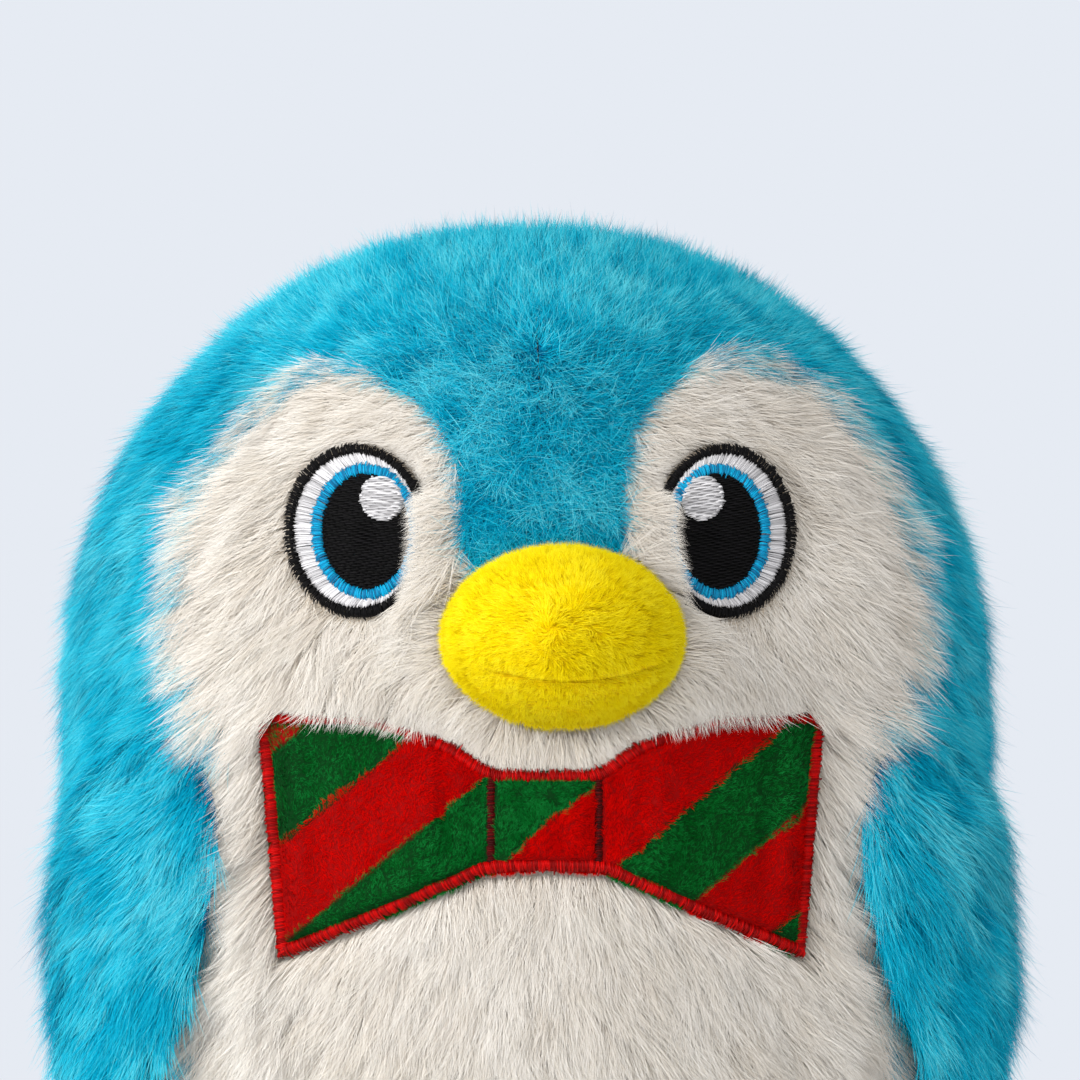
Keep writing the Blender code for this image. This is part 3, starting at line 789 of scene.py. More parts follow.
def body_backing(node, pile, backing):
    """The backing cloth of one panel: the CAD panel with its outer face sunk below the pile's tips."""
    cloth = frame["nodes"][node].data.copy()
    verts = coordinates(cloth)
    surface = on_egg(verts)
    normals = egg_normals(surface)
    outer = dot(surface - verts, normals) < OUTER_FACE_WITHIN
    height, _ = swelling(surface, normals)
    verts = np.where(outer, verts - normals * (SKIN_DEPTH - height[:, None]), verts)
    verts[:, 2] = np.maximum(verts[:, 2], 0.0)
    cloth.vertices.foreach_set("co", verts.astype(np.float32).ravel())
    set_material(cloth, backing)
    cloth.update()
    skin = add_piece("backing_" + node, cloth, "body", pile.slot, node)


def body_roots(node, pile, seed):
    """Roots on the body's smooth form, none of them under the features, and their share of full density."""
    surface = on_egg(scattered(outer_triangles(node, outward), pile.density, seed))
    x, y, z = surface.T
    full = smooth(-y, -0.012, 0.012) * smooth(z, 0.030, 0.060)
    share = SPARSE + (1.0 - SPARSE) * full
    covered = in_bow(x, z, -UNDER_BOW) | (eye_distance(surface) < 1.0)
    covered |= beak_distance(surface, UNDER_BEAK) < 1.0
    bare = (z < FLOOR_CLEAR) | ((y < 0.0) & covered)
    bare |= np.random.default_rng(seed + 5).random(len(x)) > share
    return surface[~bare], share[~bare]


def body_length(surface, front, inner, over, fuzzy, white):
    """Each strand's share of its pile's length: less on the crown, round the eyes and at the seams."""
    x, y, z = surface.T
    out = np.abs(x)
    top = smooth(z, 0.165, 0.215) * (1.0 - 0.4 * smooth(out, 0.045, 0.075))
    round_eye = bell(eye_distance(surface) - 1.0, 0.22) * front * (1.0 - inner)
    back_seam = np.where(front, 0.0, 1.0 - smooth(out, 0.0, SEAM_SPREAD))
    side_seam = 1.0 - smooth(np.abs(y - SIDE_SEAM_Y), 0.0, SEAM_SPREAD)
    outer_edge = smooth(out, 0.046, 0.060) * white
    length = (1.0 - 0.36 * top) * (1.0 - 0.35 * fuzzy) * (1.0 - 0.30 * round_eye)
    length *= 1.0 - 0.45 * np.maximum(back_seam, side_seam)
    return length * (1.0 + 0.25 * over) * (1.0 + 0.40 * inner) * (1.0 + 0.15 * outer_edge)


def body_panel(node, pile, backing, seed):
    """One panel's backing and pile. The back's pile has fewer, wider strands than the front's."""
    body_backing(node, pile, backing)
    surface, share = body_roots(node, pile, seed)
    normals = egg_normals(surface)
    height, shaped = swelling(surface, normals)
    x, y, z = surface.T
    front = y < 0.0
    white = pile.tones is WHITE_TONES
    inner = beside_eye(surface) * front
    chin_sides = 1.0 - smooth(np.abs(x), 0.054, 0.058)
    chin = bell(z - bow_edges(x)[1] - 0.001, CHIN_SPREAD) * chin_sides * front
    brow = bell(beak_distance(surface, UNDER_BEAK) - 1.0, 0.18) * smooth(z, 0.160, 0.166) * front
    crown = smooth(z, CROWN_START, CROWN_FULL)
    over = over_flipper(surface)
    fuzzy = (1.0 - smooth(np.abs(x), 0.018, 0.045)) * smooth(z, 0.150, 0.165) * front
    fuzzy = 0.15 * fuzzy if white else np.maximum(fuzzy, 0.7 * crown)

    depth = pile.depth * (1.0 - 0.9 * np.maximum(inner, 0.8 * chin))
    slant = np.sign(x) * LOCK_SLANT
    grain = np.stack([np.sin(slant), np.zeros(len(x)), -np.cos(slant)], axis=1)
    light = shaped
    if white:
        wrap = (LIGHT_WRAP + LIGHT_WRAP_RIGHT * smooth(x, 0.020, 0.070)) * front
        light = unit(shaped * (1.0 - wrap)[:, None] + LIGHT_TOWARD * wrap[:, None])
    plant("pile_" + node, "body", pile, surface + normals * (height - depth)[:, None], shaped,
          nap(surface, normals, node.startswith("face")), seed,
          length=body_length(surface, front, inner, over, fuzzy, white),
          lift=26.0 * crown + 14.0 * inner + 16.0 * chin + 32.0 * brow + 15.0 * over,
          keep_off=(off_eyes, off_beak, off_bow), chaos=0.85 * fuzzy, wide=share ** -0.6,
          light_from=light, grain=grain)


def build_body():
    seeds = 100
    for side in ("left", "right"):
        body_panel("hood_" + side, LONG_PILE, BLUE_BACKING, seeds)
        body_panel("back_" + side, LONG_PILE, BLUE_BACKING, seeds + 1)
        body_panel("face_" + side, WHITE_PILE, WHITE_BACKING, seeds + 2)
        seeds += 10
    body_panel("belly_panel", WHITE_PILE, WHITE_BACKING, seeds)
    inside = (("body_stuffing", FILLING), ("pellet_pouch", POUCH_CLOTH), ("base_panel", BLUE_BACKING))
    for node, made in inside:
        set_material(frame["nodes"][node].data, made)


# ---------------------------------------------------------------- meshes from arrays

class Shapes:
    """Gathers closed shapes into the one mesh of a piece. Each face keeps the number of its material."""

    def __init__(self):
        self.verts = []
        self.faces = []
        self.kinds = []
        self.count = 0

    def add(self, verts, faces, kind=0):
        verts = np.asarray(verts, float).reshape(-1, 3)
        faces = np.asarray(faces, int)
        self.verts.append(verts)
        self.faces += (faces + self.count).tolist()
        self.kinds += np.broadcast_to(kind, len(faces)).tolist()
        self.count += len(verts)

    def mesh(self, name, materials):
        mesh = bpy.data.meshes.new(name)
        mesh.from_pydata(np.concatenate(self.verts).tolist(), [], self.faces)
        mesh.polygons.foreach_set("material_index", np.array(self.kinds, np.int32))
        mesh.polygons.foreach_set("use_smooth", np.ones(len(self.faces), bool))
        for made in materials:
            mesh.materials.append(made)
        mesh.update()
        return mesh


def grid_faces(rows, columns, closed_rows=False, closed_columns=False):
    """Quads between neighbouring points of a grid that is stored row by row."""
    row = np.arange(rows if closed_rows else rows - 1)[:, None]
    column = np.arange(columns if closed_columns else columns - 1)[None, :]
    next_row = (row + 1) % rows
    next_column = (column + 1) % columns
    corners = (row * columns + column, row * columns + next_column,
               next_row * columns + next_column, next_row * columns + column)
    return np.stack(np.broadcast_arrays(*corners), axis=-1).reshape(-1, 4)


PAD_RINGS = (0.02, 0.40, 0.80, 0.95, 0.985, 1.0)


PAD_SIDES = 64


def front_pad(shapes, x, z, semi, low, high):
    """A closed oval pad on the front of the body, between two heights above it, with a rounded rim."""
    turn = np.linspace(0.0, 2.0 * np.pi, PAD_SIDES, endpoint=False)
    share = np.array(PAD_RINGS)
    rings = len(share)
    rim = low + (high - low) * np.sqrt(np.maximum(1.0 - share ** 40, 0.0))
    out_x = x + semi[0] * share[:, None] * np.cos(turn)
    out_z = z + semi[1] * share[:, None] * np.sin(turn)
    top = front_point(out_x, out_z, np.repeat(rim, PAD_SIDES))
    bottom = front_point(out_x[::-1], out_z[::-1], low - 0.0001)
    shapes.add(np.concatenate([top, bottom]), grid_faces(2 * rings, PAD_SIDES, True, True))


# ---------------------------------------------------------------- embroidery

THREAD = 0.00031
TONES_OF_THREAD = 3
ROW_PITCH = 0.00034
SHORTEST_STITCH = 0.0005


def add_stitches(shapes, starts, ends, lift, arch, seed, width=THREAD, bends=4, round_off=0.6):
    """Rounded threads laid over the front of the body from starts to ends, which are (x, z) points.

    Each thread rises out of the cloth, lies at lift plus its arch, and dives back in.
    """
    count = len(starts)
    random = np.random.default_rng(seed)
    share = np.linspace(0.0, 1.0, bends + 1)
    laid = starts[None] + (ends - starts)[None] * share[:, None, None]
    bow = np.sin(np.pi * share) ** round_off
    own = random.uniform(-0.00006, 0.00006, count)
    height = lift + arch * bow[:, None] + own[None, :] - 0.0004 * (bow[:, None] < 0.01)
    track = front_point(laid[..., 0], laid[..., 1], height.ravel()).reshape(bends + 1, count, 3)
    normals = egg_normals(track.reshape(-1, 3)).reshape(track.shape)
    along = unit(np.gradient(track, axis=0))
    sides = unit(np.cross(along, normals))
    half = 0.5 * width * random.uniform(0.88, 1.12, count)[None, :, None] * np.ones((bends + 1, 1, 1))
    half[[0, -1]] *= 0.6
    rings = np.stack([track - sides * half, track + normals * half * 0.8, track + sides * half,
                      track - normals * half * 0.8], axis=2)
    verts = rings.transpose(1, 0, 2, 3).reshape(-1, 3)
    tube = grid_faces(bends + 1, 4, False, True)
    last = bends * 4
    caps = np.array([(3, 2, 1, 0), (last, last + 1, last + 2, last + 3)])
    each = np.concatenate([tube, caps])
    faces = (np.arange(count)[:, None, None] * (bends + 1) * 4 + each[None]).reshape(-1, 4)
    tone = random.integers(0, TONES_OF_THREAD, count)
    shapes.add(verts, faces, np.repeat(tone, len(each)))


def oval(x, z, semi, turn):
    return np.stack([x + semi[0] * np.cos(turn), z + semi[1] * np.sin(turn)], axis=-1)


def ring_stitches(shapes, inner, outer, pitch, lift, arch, seed, jagged=0.00022):
    """Satin stitches across the ring between two ovals, each given as (x, z, semi)."""
    around = math.pi * (outer[2][0] + outer[2][1])
    count = int(around / pitch)
    random = np.random.default_rng(seed)
    turn = 2.0 * np.pi * (np.arange(count) + random.uniform(-0.2, 0.2, count)) / count
    slant = random.normal(0.0, 0.012, count)
    starts = oval(*inner, turn + slant)
    ends = oval(*outer, turn)
    out = ends - starts
    out /= np.maximum(np.linalg.norm(out, axis=1, keepdims=True), 1e-9)
    ends = ends + out * random.normal(0.0, jagged, count)[:, None]
    starts = starts - out * np.abs(random.normal(0.0, jagged, count))[:, None]
    add_stitches(shapes, starts, ends, lift, arch, seed + 1)


def fill_stitches(shapes, x, z, semi, stitch, lift, seed, tilt=0.0):
    """Rows of running stitches that fill an oval, set off from row to row like bricks."""
    random = np.random.default_rng(seed)
    starts = []
    ends = []
    rows = int(2.0 * semi[1] / ROW_PITCH)
    for row in range(rows):
        off = -semi[1] + ROW_PITCH * (row + 0.5)
        half = semi[0] * math.sqrt(max(1.0 - (off / semi[1]) ** 2, 0.0))
        left = -half - stitch * ((row * 0.37) % 1.0)
        while left < half:
            right = left + stitch
            a = max(left, -half) + random.normal(0.0, 0.00012)
            b = min(right, half) + random.normal(0.0, 0.00012)
            if b - a > SHORTEST_STITCH:
                starts.append((x + a, z + off + a * tilt))
                ends.append((x + b, z + off + b * tilt))
            left = right
    add_stitches(shapes, np.array(starts), np.array(ends), lift, 0.00012, seed + 1, ROW_PITCH * 1.25,
                 bends=3)


def shrunk(semi, by):
    return (semi[0] - by, semi[1] - by)


def build_eye(side, sign, seed):
    """Satin-stitched ring, white field, iris ring, pupil and highlight, each on the one before."""
    eye = (sign * EYE_X, EYE_Z)
    iris = (sign * IRIS_X, IRIS_Z)
    spot = (sign * HIGHLIGHT_X, HIGHLIGHT_Z)
    inside = shrunk(EYE_SEMI, OUTLINE_WIDTH)
    pupil = shrunk(IRIS_SEMI, IRIS_WIDTH)

    def sewn(part, shapes, threads, slot):
        add_piece(f"eye_{part}_stitches_{side}", shapes.mesh("eye_" + part, threads), "body", slot,
                  f"eye_{part}_{side}")

    shapes = Shapes()
    front_pad(shapes, *eye, EYE_SEMI, -0.0036, 0.0002)
    ring_stitches(shapes, (*eye, inside), (*eye, shrunk(EYE_SEMI, -0.0002)), 0.00023, 0.0007, 0.0005, seed)
    sewn("outline", shapes, BLACK_THREAD, "black_thread")

    shapes = Shapes()
    front_pad(shapes, *eye, shrunk(inside, -0.0001), 0.0, 0.00045)
    ring_stitches(shapes, (*iris, shrunk(IRIS_SEMI, 0.0012)), (*eye, shrunk(inside, -0.0005)),
                  0.00024, 0.0006, 0.0004, seed + 10)
    sewn("white", shapes, WHITE_THREAD, "white_thread")

    shapes = Shapes()
    ring_stitches(shapes, (*iris, pupil), (*iris, IRIS_SEMI), 0.00023, 0.0011, 0.0004, seed + 20)
    sewn("iris", shapes, IRIS_THREAD, "blue_thread")

    shapes = Shapes()
    front_pad(shapes, *iris, shrunk(pupil, -0.0006), 0.0005, 0.00105)
    fill_stitches(shapes, *iris, shrunk(pupil, -0.0003), 0.0030, 0.0012, seed + 30)
    sewn("pupil", shapes, BLACK_THREAD, "black_thread")

    shapes = Shapes()
    front_pad(shapes, *spot, shrunk(HIGHLIGHT_SEMI, 0.0002), 0.0010, 0.0015)
    fill_stitches(shapes, *spot, HIGHLIGHT_SEMI, 0.0050, 0.0017, seed + 40, tilt=sign * 0.06)
    sewn("highlight", shapes, WHITE_THREAD, "white_thread")


# ---------------------------------------------------------------- beak, feet, flippers and tail

def mouth_height(x):
    return MOUTH_Z + MOUTH_RISE * (x - BEAK_CENTRE[0]) ** 2


def beak_dip(points):
    """How far the plush of the beak sinks in at the mouth crease and sets back below it."""
    below = mouth_height(points[:, 0]) - points[:, 2]
    front = smooth(-(points[:, 1] - BEAK_CENTRE[1]), 0.002, 0.010)
    ends = 1.0 - smooth(np.abs(points[:, 0] - BEAK_CENTRE[0]), 0.017, 0.022)
    crease = CREASE_DEPTH * bell(below, CREASE_SPREAD)
    return front * ends * (crease + LOWER_SET_BACK * smooth(below, 0.0, 0.003))


def oval_normals(points, centre, semi):
    return unit((points - centre) / semi ** 2)


def oval_between(low, high):
    """The centre and the half sizes of the oval that fills a box."""
    low = np.array(low)
    high = np.array(high)
    return (low + high) / 2.0, (high - low) / 2.0


def oval_roots(node, centre, semi, density, seed):
    """Roots on the oval form that a node's outer faces stand for."""
    outer = outer_triangles(node, lambda middles: oval_normals(middles, centre, semi))
    roots = scattered(outer, density, seed)
    return centre + unit((roots - centre) / semi) * semi


def build_beak_half(part, sign, seed):
    """One closed shell of the beak, from the mouth crease round to the back, with its short pile."""
    columns = 60
    rows = 34
    lean = np.linspace(-0.499 * np.pi, 0.499 * np.pi, columns)
    shell = BEAK_SEMI - BEAK_PILE.depth
    x = shell[0] * np.sin(lean)
    drop = (mouth_height(BEAK_CENTRE[0] + x) + sign * 0.0001 - BEAK_CENTRE[2]) / (shell[2] * np.cos(lean))
    crease = np.arcsin(np.clip(drop, -1.0, 1.0))
    reach = sign * np.pi * 0.98 - crease[None, :]
    around = crease[None, :] + reach * np.linspace(0.0, 1.0, rows)[:, None]
    points = np.stack([np.broadcast_to(x, around.shape), -shell[1] * np.cos(lean) * np.cos(around),
                       shell[2] * np.cos(lean) * np.sin(around)], axis=-1) + BEAK_CENTRE
    points = points.reshape(-1, 3)
    points -= oval_normals(points, BEAK_CENTRE, BEAK_SEMI) * CLOTH_DIP * beak_dip(points)[:, None]
    faces = grid_faces(rows, columns, closed_rows=True)
    ends = [np.arange(rows) * columns, np.arange(rows)[::-1] * columns + columns - 1]
    shapes = Shapes()
    shapes.add(points, faces if sign > 0 else faces[:, ::-1])
    shapes.faces += [(end if sign > 0 else end[::-1]).tolist() for end in ends]
    shapes.kinds += [0, 0]
    mesh = shapes.mesh("beak_shell", [YELLOW_BACKING])
    cloth = add_piece(f"beak_{part}_cloth", mesh, "body", "yellow_plush", "beak_" + part)

    roots = oval_roots("beak_" + part, BEAK_CENTRE, BEAK_SEMI, BEAK_PILE.density, seed)
    normals = oval_normals(roots, BEAK_CENTRE, BEAK_SEMI)
    dip = beak_dip(roots) * (0.97 + 0.16 * noise(roots, 0.005, seed + 9))
    away = roots - (BEAK_CENTRE + BEAK_WHORL)
    flow = laid_flat(away + 0.012 * noise_vectors(roots, 0.004, seed), normals)
    start = roots - normals * (dip + BEAK_PILE.depth)[:, None]
    plant(f"beak_{part}_pile", "body", BEAK_PILE, start, normals, flow, seed, length=1.0 - 260.0 * dip)


def cut_oval(name, centre, semi, place, way, made, taper=0.0):
    """The closed part of an oval form that lies on the way side of a plane through place."""
    bm = bmesh.new()
    bmesh.ops.create_uvsphere(bm, u_segments=48, v_segments=28, radius=1.0)
    for vertex in bm.verts:
        vertex.co.y *= 1.0 - taper * vertex.co.z
    bm.transform(Matrix.Translation(centre) @ Matrix.Diagonal((*semi, 1.0)))
    whole = bm.verts[:] + bm.edges[:] + bm.faces[:]
    cut = bmesh.ops.bisect_plane(bm, geom=whole, plane_co=place, plane_no=way, clear_inner=True)
    rim = [part for part in cut["geom_cut"] if isinstance(part, bmesh.types.BMEdge)]
    bmesh.ops.edgeloop_fill(bm, edges=rim)
    bmesh.ops.recalc_face_normals(bm, faces=bm.faces)
    for face in bm.faces:
        face.smooth = True
    mesh = bpy.data.meshes.new(name)
    bm.to_mesh(mesh)
    bm.free()
    mesh.materials.append(made)
    return mesh


FLIPPER_SEMI = np.array((0.0042, 0.025, 0.041))
FLIPPER_TOP = 0.004
FLIPPER_TAPER = 0.22
FLIPPER_SLANT = 0.22
FLIPPER_BEND = 0.085
FLIPPER_TURN = 26.0


def flipper_frame(side):
    """A flipper's hinge, and a matrix whose rows point out of the body, across the flipper and up."""
    joint = next(j for j in frame["record"]["behaviour"]["joints"] if j["name"] == side + "_flipper_hinge")
    out = unit(np.cross(joint["axis"], (0.0, 0.0, -1.0)))
    return np.array(joint["pos_m"]), np.stack([out, np.cross((0.0, 0.0, 1.0), out), (0.0, 0.0, 1.0)])


def build_flipper(side, sign, seed):
    """A flat stuffed leaf of two furry halves, bent round the body's front corner."""
    hinge, axes = flipper_frame(side)
    centre = np.array((0.0, 0.0, FLIPPER_TOP - FLIPPER_SEMI[2]))
    body = side + "_flipper"
    for face, away, pile in (("outer", 1.0, FLIPPER_PILE), ("inner", -1.0, FLIPPER_LINING)):
        node = f"flipper_{face}_{side}"
        mesh = cut_oval(node, centre, FLIPPER_SEMI - 0.0014, Vector(centre), (away, 0.0, 0.0),
                        BLUE_BACKING, -FLIPPER_TAPER)
        for vertex in mesh.vertices:
            vertex.co.y -= sign * FLIPPER_SLANT * vertex.co.z
            vertex.co.x -= vertex.co.y ** 2 / (2.0 * FLIPPER_BEND)
            vertex.co = Vector(hinge + np.array(vertex.co) @ axes)
        add_piece("backing_" + node, mesh, body, "blue_fur", node)

        corners = (triangles_of(node) - hinge) @ axes.T
        facing = unit(spanned(corners))
        outward_faces = dot(facing, corners.mean(axis=1) - centre)[:, 0] > 0.0
        outside = corners[(facing[:, 0] * away > -0.2) & outward_faces]
        roots = scattered(outside, pile.density, seed)
        across = roots[:, 1] + sign * FLIPPER_SLANT * roots[:, 2]
        normals = unit(np.stack([np.full(len(roots), 0.9 * away), 0.9 * across / FLIPPER_SEMI[1],
                                 0.5 * (roots[:, 2] - centre[2]) / FLIPPER_SEMI[2]], axis=1))
        turn = np.radians(FLIPPER_TURN) * sign
        grain = np.array((0.0, math.sin(turn), -math.cos(turn)))
        flow = laid_flat(grain + 0.30 * noise_vectors(roots, 0.011, seed), normals)
        shoulder = smooth(roots[:, 2], -0.014, 0.003)
        start = hinge + (roots - normals * pile.depth) @ axes
        plant("pile_" + node, body, pile, start, normals @ axes, flow @ axes, seed,
              length=1.0 - 0.3 * shoulder, lift=-6.0 * shoulder, grain=grain @ axes)
        seed += 1


def build_foot(side, seed):
    """The foot's furry top on its sole."""
    low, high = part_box("foot_top_" + side)
    sole_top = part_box("foot_sole_" + side)[1].z
    body = side + "_foot"
    centre, semi = oval_between(low, high)
    centre[2] = FOOT_CENTRE_Z
    semi[2] = high.z - FOOT_CENTRE_Z
    mesh = cut_oval("foot_top", centre, semi - 0.0012, (0.0, 0.0, sole_top + 0.0002), (0.0, 0.0, 1.0),
                    YELLOW_BACKING)
    cloth = add_piece("foot_top_cloth_" + side, mesh, body, "yellow_plush", "foot_top_" + side)
    roots = oval_roots("foot_top_" + side, centre, semi, FOOT_PILE.density, seed)
    normals = oval_normals(roots, centre, semi)
    field = np.array((0.0, -1.0, -0.2)) + 0.5 * noise_vectors(roots, 0.005, seed)
    plant("foot_pile_" + side, body, FOOT_PILE, roots - normals * FOOT_PILE.depth, normals,
          laid_flat(field, normals), seed)
    set_material(frame["nodes"]["foot_sole_" + side].data, YELLOW_BACKING)


def build_tail(seed):
    """The tail's two furry halves."""
    low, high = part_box("tail_upper")
    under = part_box("tail_under")[0]
    centre, semi = oval_between((low.x, low.y, under.z), high)
    for part, way in (("upper", 1.0), ("under", -1.0)):
        node = "tail_" + part
        mesh = cut_oval(node, centre, semi - 0.002, Vector(centre), (0.0, 0.0, way), BLUE_BACKING)
        add_piece("backing_" + node, mesh, "tail", "blue_fur", node)
        roots = oval_roots(node, centre, semi, TAIL_PILE.density, seed)
        normals = oval_normals(roots, centre, semi * np.array((1.0, 1.0, 1.5)))
        field = np.array((0.0, 1.0, -0.25)) + 0.3 * noise_vectors(roots, 0.008, seed)
        field[:, 0] += 0.5 * (roots[:, 0] - centre[0]) / semi[0]
        plant("pile_" + node, "tail", TAIL_PILE, roots - normals * TAIL_PILE.depth, normals,
              laid_flat(field, normals), seed)
        seed += 1


# ---------------------------------------------------------------- bow tie

BOW_COLUMNS = 131
BOW_ROWS = 45
BOW_BACK = 0.0002
BOW_FRONT = 0.0012
BOW_PUFF = 0.0034
BOW_PINNED = 0.0022
KNOT_PINNED = 0.0013
BOW_PRESSURE = 6.0
BOW_FRAMES = 16


def bow_point(across, up):
    """The (x, z) place in the bow tie at across (-1 to 1) and up (0 to 1)."""
    x = across * bow_half(up)
    bottom, top = bow_edges(x)
    return x, bottom + (top - bottom) * up


def bow_place(x, z):
    """The across and up of an (x, z) place in the bow tie."""
    bottom, top = bow_edges(x)
    up = np.clip((z - bottom) / (top - bottom), 0.0, 1.0)
    return x / bow_half(up), up


def bow_grid():
    across, up = np.meshgrid(np.linspace(-1.0, 1.0, BOW_COLUMNS), np.linspace(0.0, 1.0, BOW_ROWS))
    return bow_point(across.ravel(), up.ravel())


def bow_cloth(name, front):
    """The bow tie's closed mesh, from the points of its front."""
    x, z = bow_grid()
    back = front_point(x, z, BOW_BACK)
    sheet = grid_faces(BOW_ROWS, BOW_COLUMNS)
    count = len(front)
    last = BOW_ROWS * BOW_COLUMNS - 1
    ring = np.concatenate([np.arange(BOW_COLUMNS), np.arange(2, BOW_ROWS + 1) * BOW_COLUMNS - 1,
                           np.arange(last - 1, last - BOW_COLUMNS, -1),
                           np.arange(BOW_ROWS - 2, 0, -1) * BOW_COLUMNS])
    after = np.roll(ring, -1)
    rim = np.stack([ring, ring + count, after + count, after], axis=1)
    shapes = Shapes()
    shapes.add(np.concatenate([front, back]), np.concatenate([sheet, sheet[:, ::-1] + count, rim]))
    return shapes.mesh(name, [stripe_material()])


def blown_up(mesh, pinned):
    """How far each point of a closed cloth moves when it is blown up with its pinned points held."""
    obj = linked("cloth_trial", mesh)
    before = np.array([vertex.co for vertex in mesh.vertices])
    held = obj.vertex_groups.new(name="held")
    held.add(np.flatnonzero(pinned).tolist(), 1.0, "REPLACE")
    cloth = obj.modifiers.new("cloth", "CLOTH")
    cloth.settings.vertex_group_mass = "held"
    cloth.settings.quality = 4
    cloth.settings.use_pressure = True
    cloth.settings.uniform_pressure_force = BOW_PRESSURE
    cloth.settings.effector_weights.gravity = 0.0
    cloth.point_cache.frame_start = 1
    cloth.point_cache.frame_end = BOW_FRAMES
    for number in range(1, BOW_FRAMES + 1):
        bpy.context.scene.frame_set(number)
    shown = obj.evaluated_get(bpy.context.evaluated_depsgraph_get())
    after = np.array([vertex.co for vertex in shown.data.vertices])
    bpy.context.scene.frame_set(1)
    bpy.data.objects.remove(obj, do_unlink=True)
    return after - before


def bow_relief():
    """The height that the fabric puffs up to between its lines of stitching, on the bow tie's grid."""
    x, z = bow_grid()
    bottom, top = bow_edges(x)
    half = bow_half((z - bottom) / (top - bottom))
    edge = np.minimum(np.minimum(z - bottom, top - z), half - np.abs(x))
    sewn = (edge < BOW_PINNED) | (np.abs(np.abs(x) - KNOT_X) < KNOT_PINNED)
    flat = front_point(x, z, BOW_FRONT)
    moved = blown_up(bow_cloth("bow_trial", flat), np.append(sewn, np.ones(len(flat), bool)))
    rise = np.maximum(dot(moved[:len(flat)], egg_normals(flat))[:, 0], 0.0)
    return (BOW_PUFF * rise / rise.max()).reshape(BOW_ROWS, BOW_COLUMNS)


def puffed(relief, x, z):
    """The relief at (x, z) places, between the points of its grid."""
    across, up = bow_place(x, z)
    column = np.clip((across + 1.0) / 2.0 * (BOW_COLUMNS - 1), 0.0, BOW_COLUMNS - 1.001)
    row = np.clip(up * (BOW_ROWS - 1), 0.0, BOW_ROWS - 1.001)
    a = column.astype(int)
    b = row.astype(int)
    right = column - a
    above = row - b
    low = relief[b, a] * (1.0 - right) + relief[b, a + 1] * right
    high = relief[b + 1, a] * (1.0 - right) + relief[b + 1, a + 1] * right
    return low * (1.0 - above) + high * above


def puffed_normals(relief, x, z, normals, step=0.0006):
    """Normals of the front tilted by the slope of the relief."""
    slope_x = (puffed(relief, x + step, z) - puffed(relief, x - step, z)) / (2.0 * step)
    slope_z = (puffed(relief, x, z + step) - puffed(relief, x, z - step)) / (2.0 * step)
    return unit(normals - np.stack([slope_x, np.zeros(len(x)), slope_z], axis=1))


FRAYED_STRANDS = 9000
NAP_AREA = 0.0036
STRIPE_WAY = (math.cos(math.radians(50.0)), 0.0, -math.sin(math.radians(50.0)))


def stripe_place(x, z):
    return x * STRIPE_WAY[0] + z * STRIPE_WAY[2] - STRIPE_START


def stripe_material():
    """The printed stripes under the nap, with ragged edges between the red and the green."""
    made = material("bow_stripes", (180, 0, 0), roughness=0.8, specular=0.1)
    graph = Graph(made)
    place = graph.place()
    slope = graph.combined("DOT_PRODUCT", place, STRIPE_WAY, "VectorMath")
    ragged = graph.texture("Noise", Vector=place, Scale=700.0, Detail=2.0)
    off = graph.combined("ADD", slope, graph.between(ragged, -0.0005, 0.0005))
    shift = graph.combined("SUBTRACT", off, STRIPE_START + STRIPE_WIDTH / 2.0)
    wave = graph.combined("PINGPONG", shift, STRIPE_WIDTH)
    share = graph.node("MapRange", Value=wave, From_Min=0.47 * STRIPE_WIDTH,
                       From_Max=0.53 * STRIPE_WIDTH).outputs["Result"]
    spots = graph.texture("Noise", Vector=place, Scale=1500.0, Detail=3.0)
    colour = graph.ramp(share, ((0.0, (0, 52, 14)), (0.5, (62, 22, 4)), (1.0, (140, 0, 0))))
    graph.finish(colour, graph.between(spots, 0.7, 0.95), spots, 0.6, 0.0003)
    return made


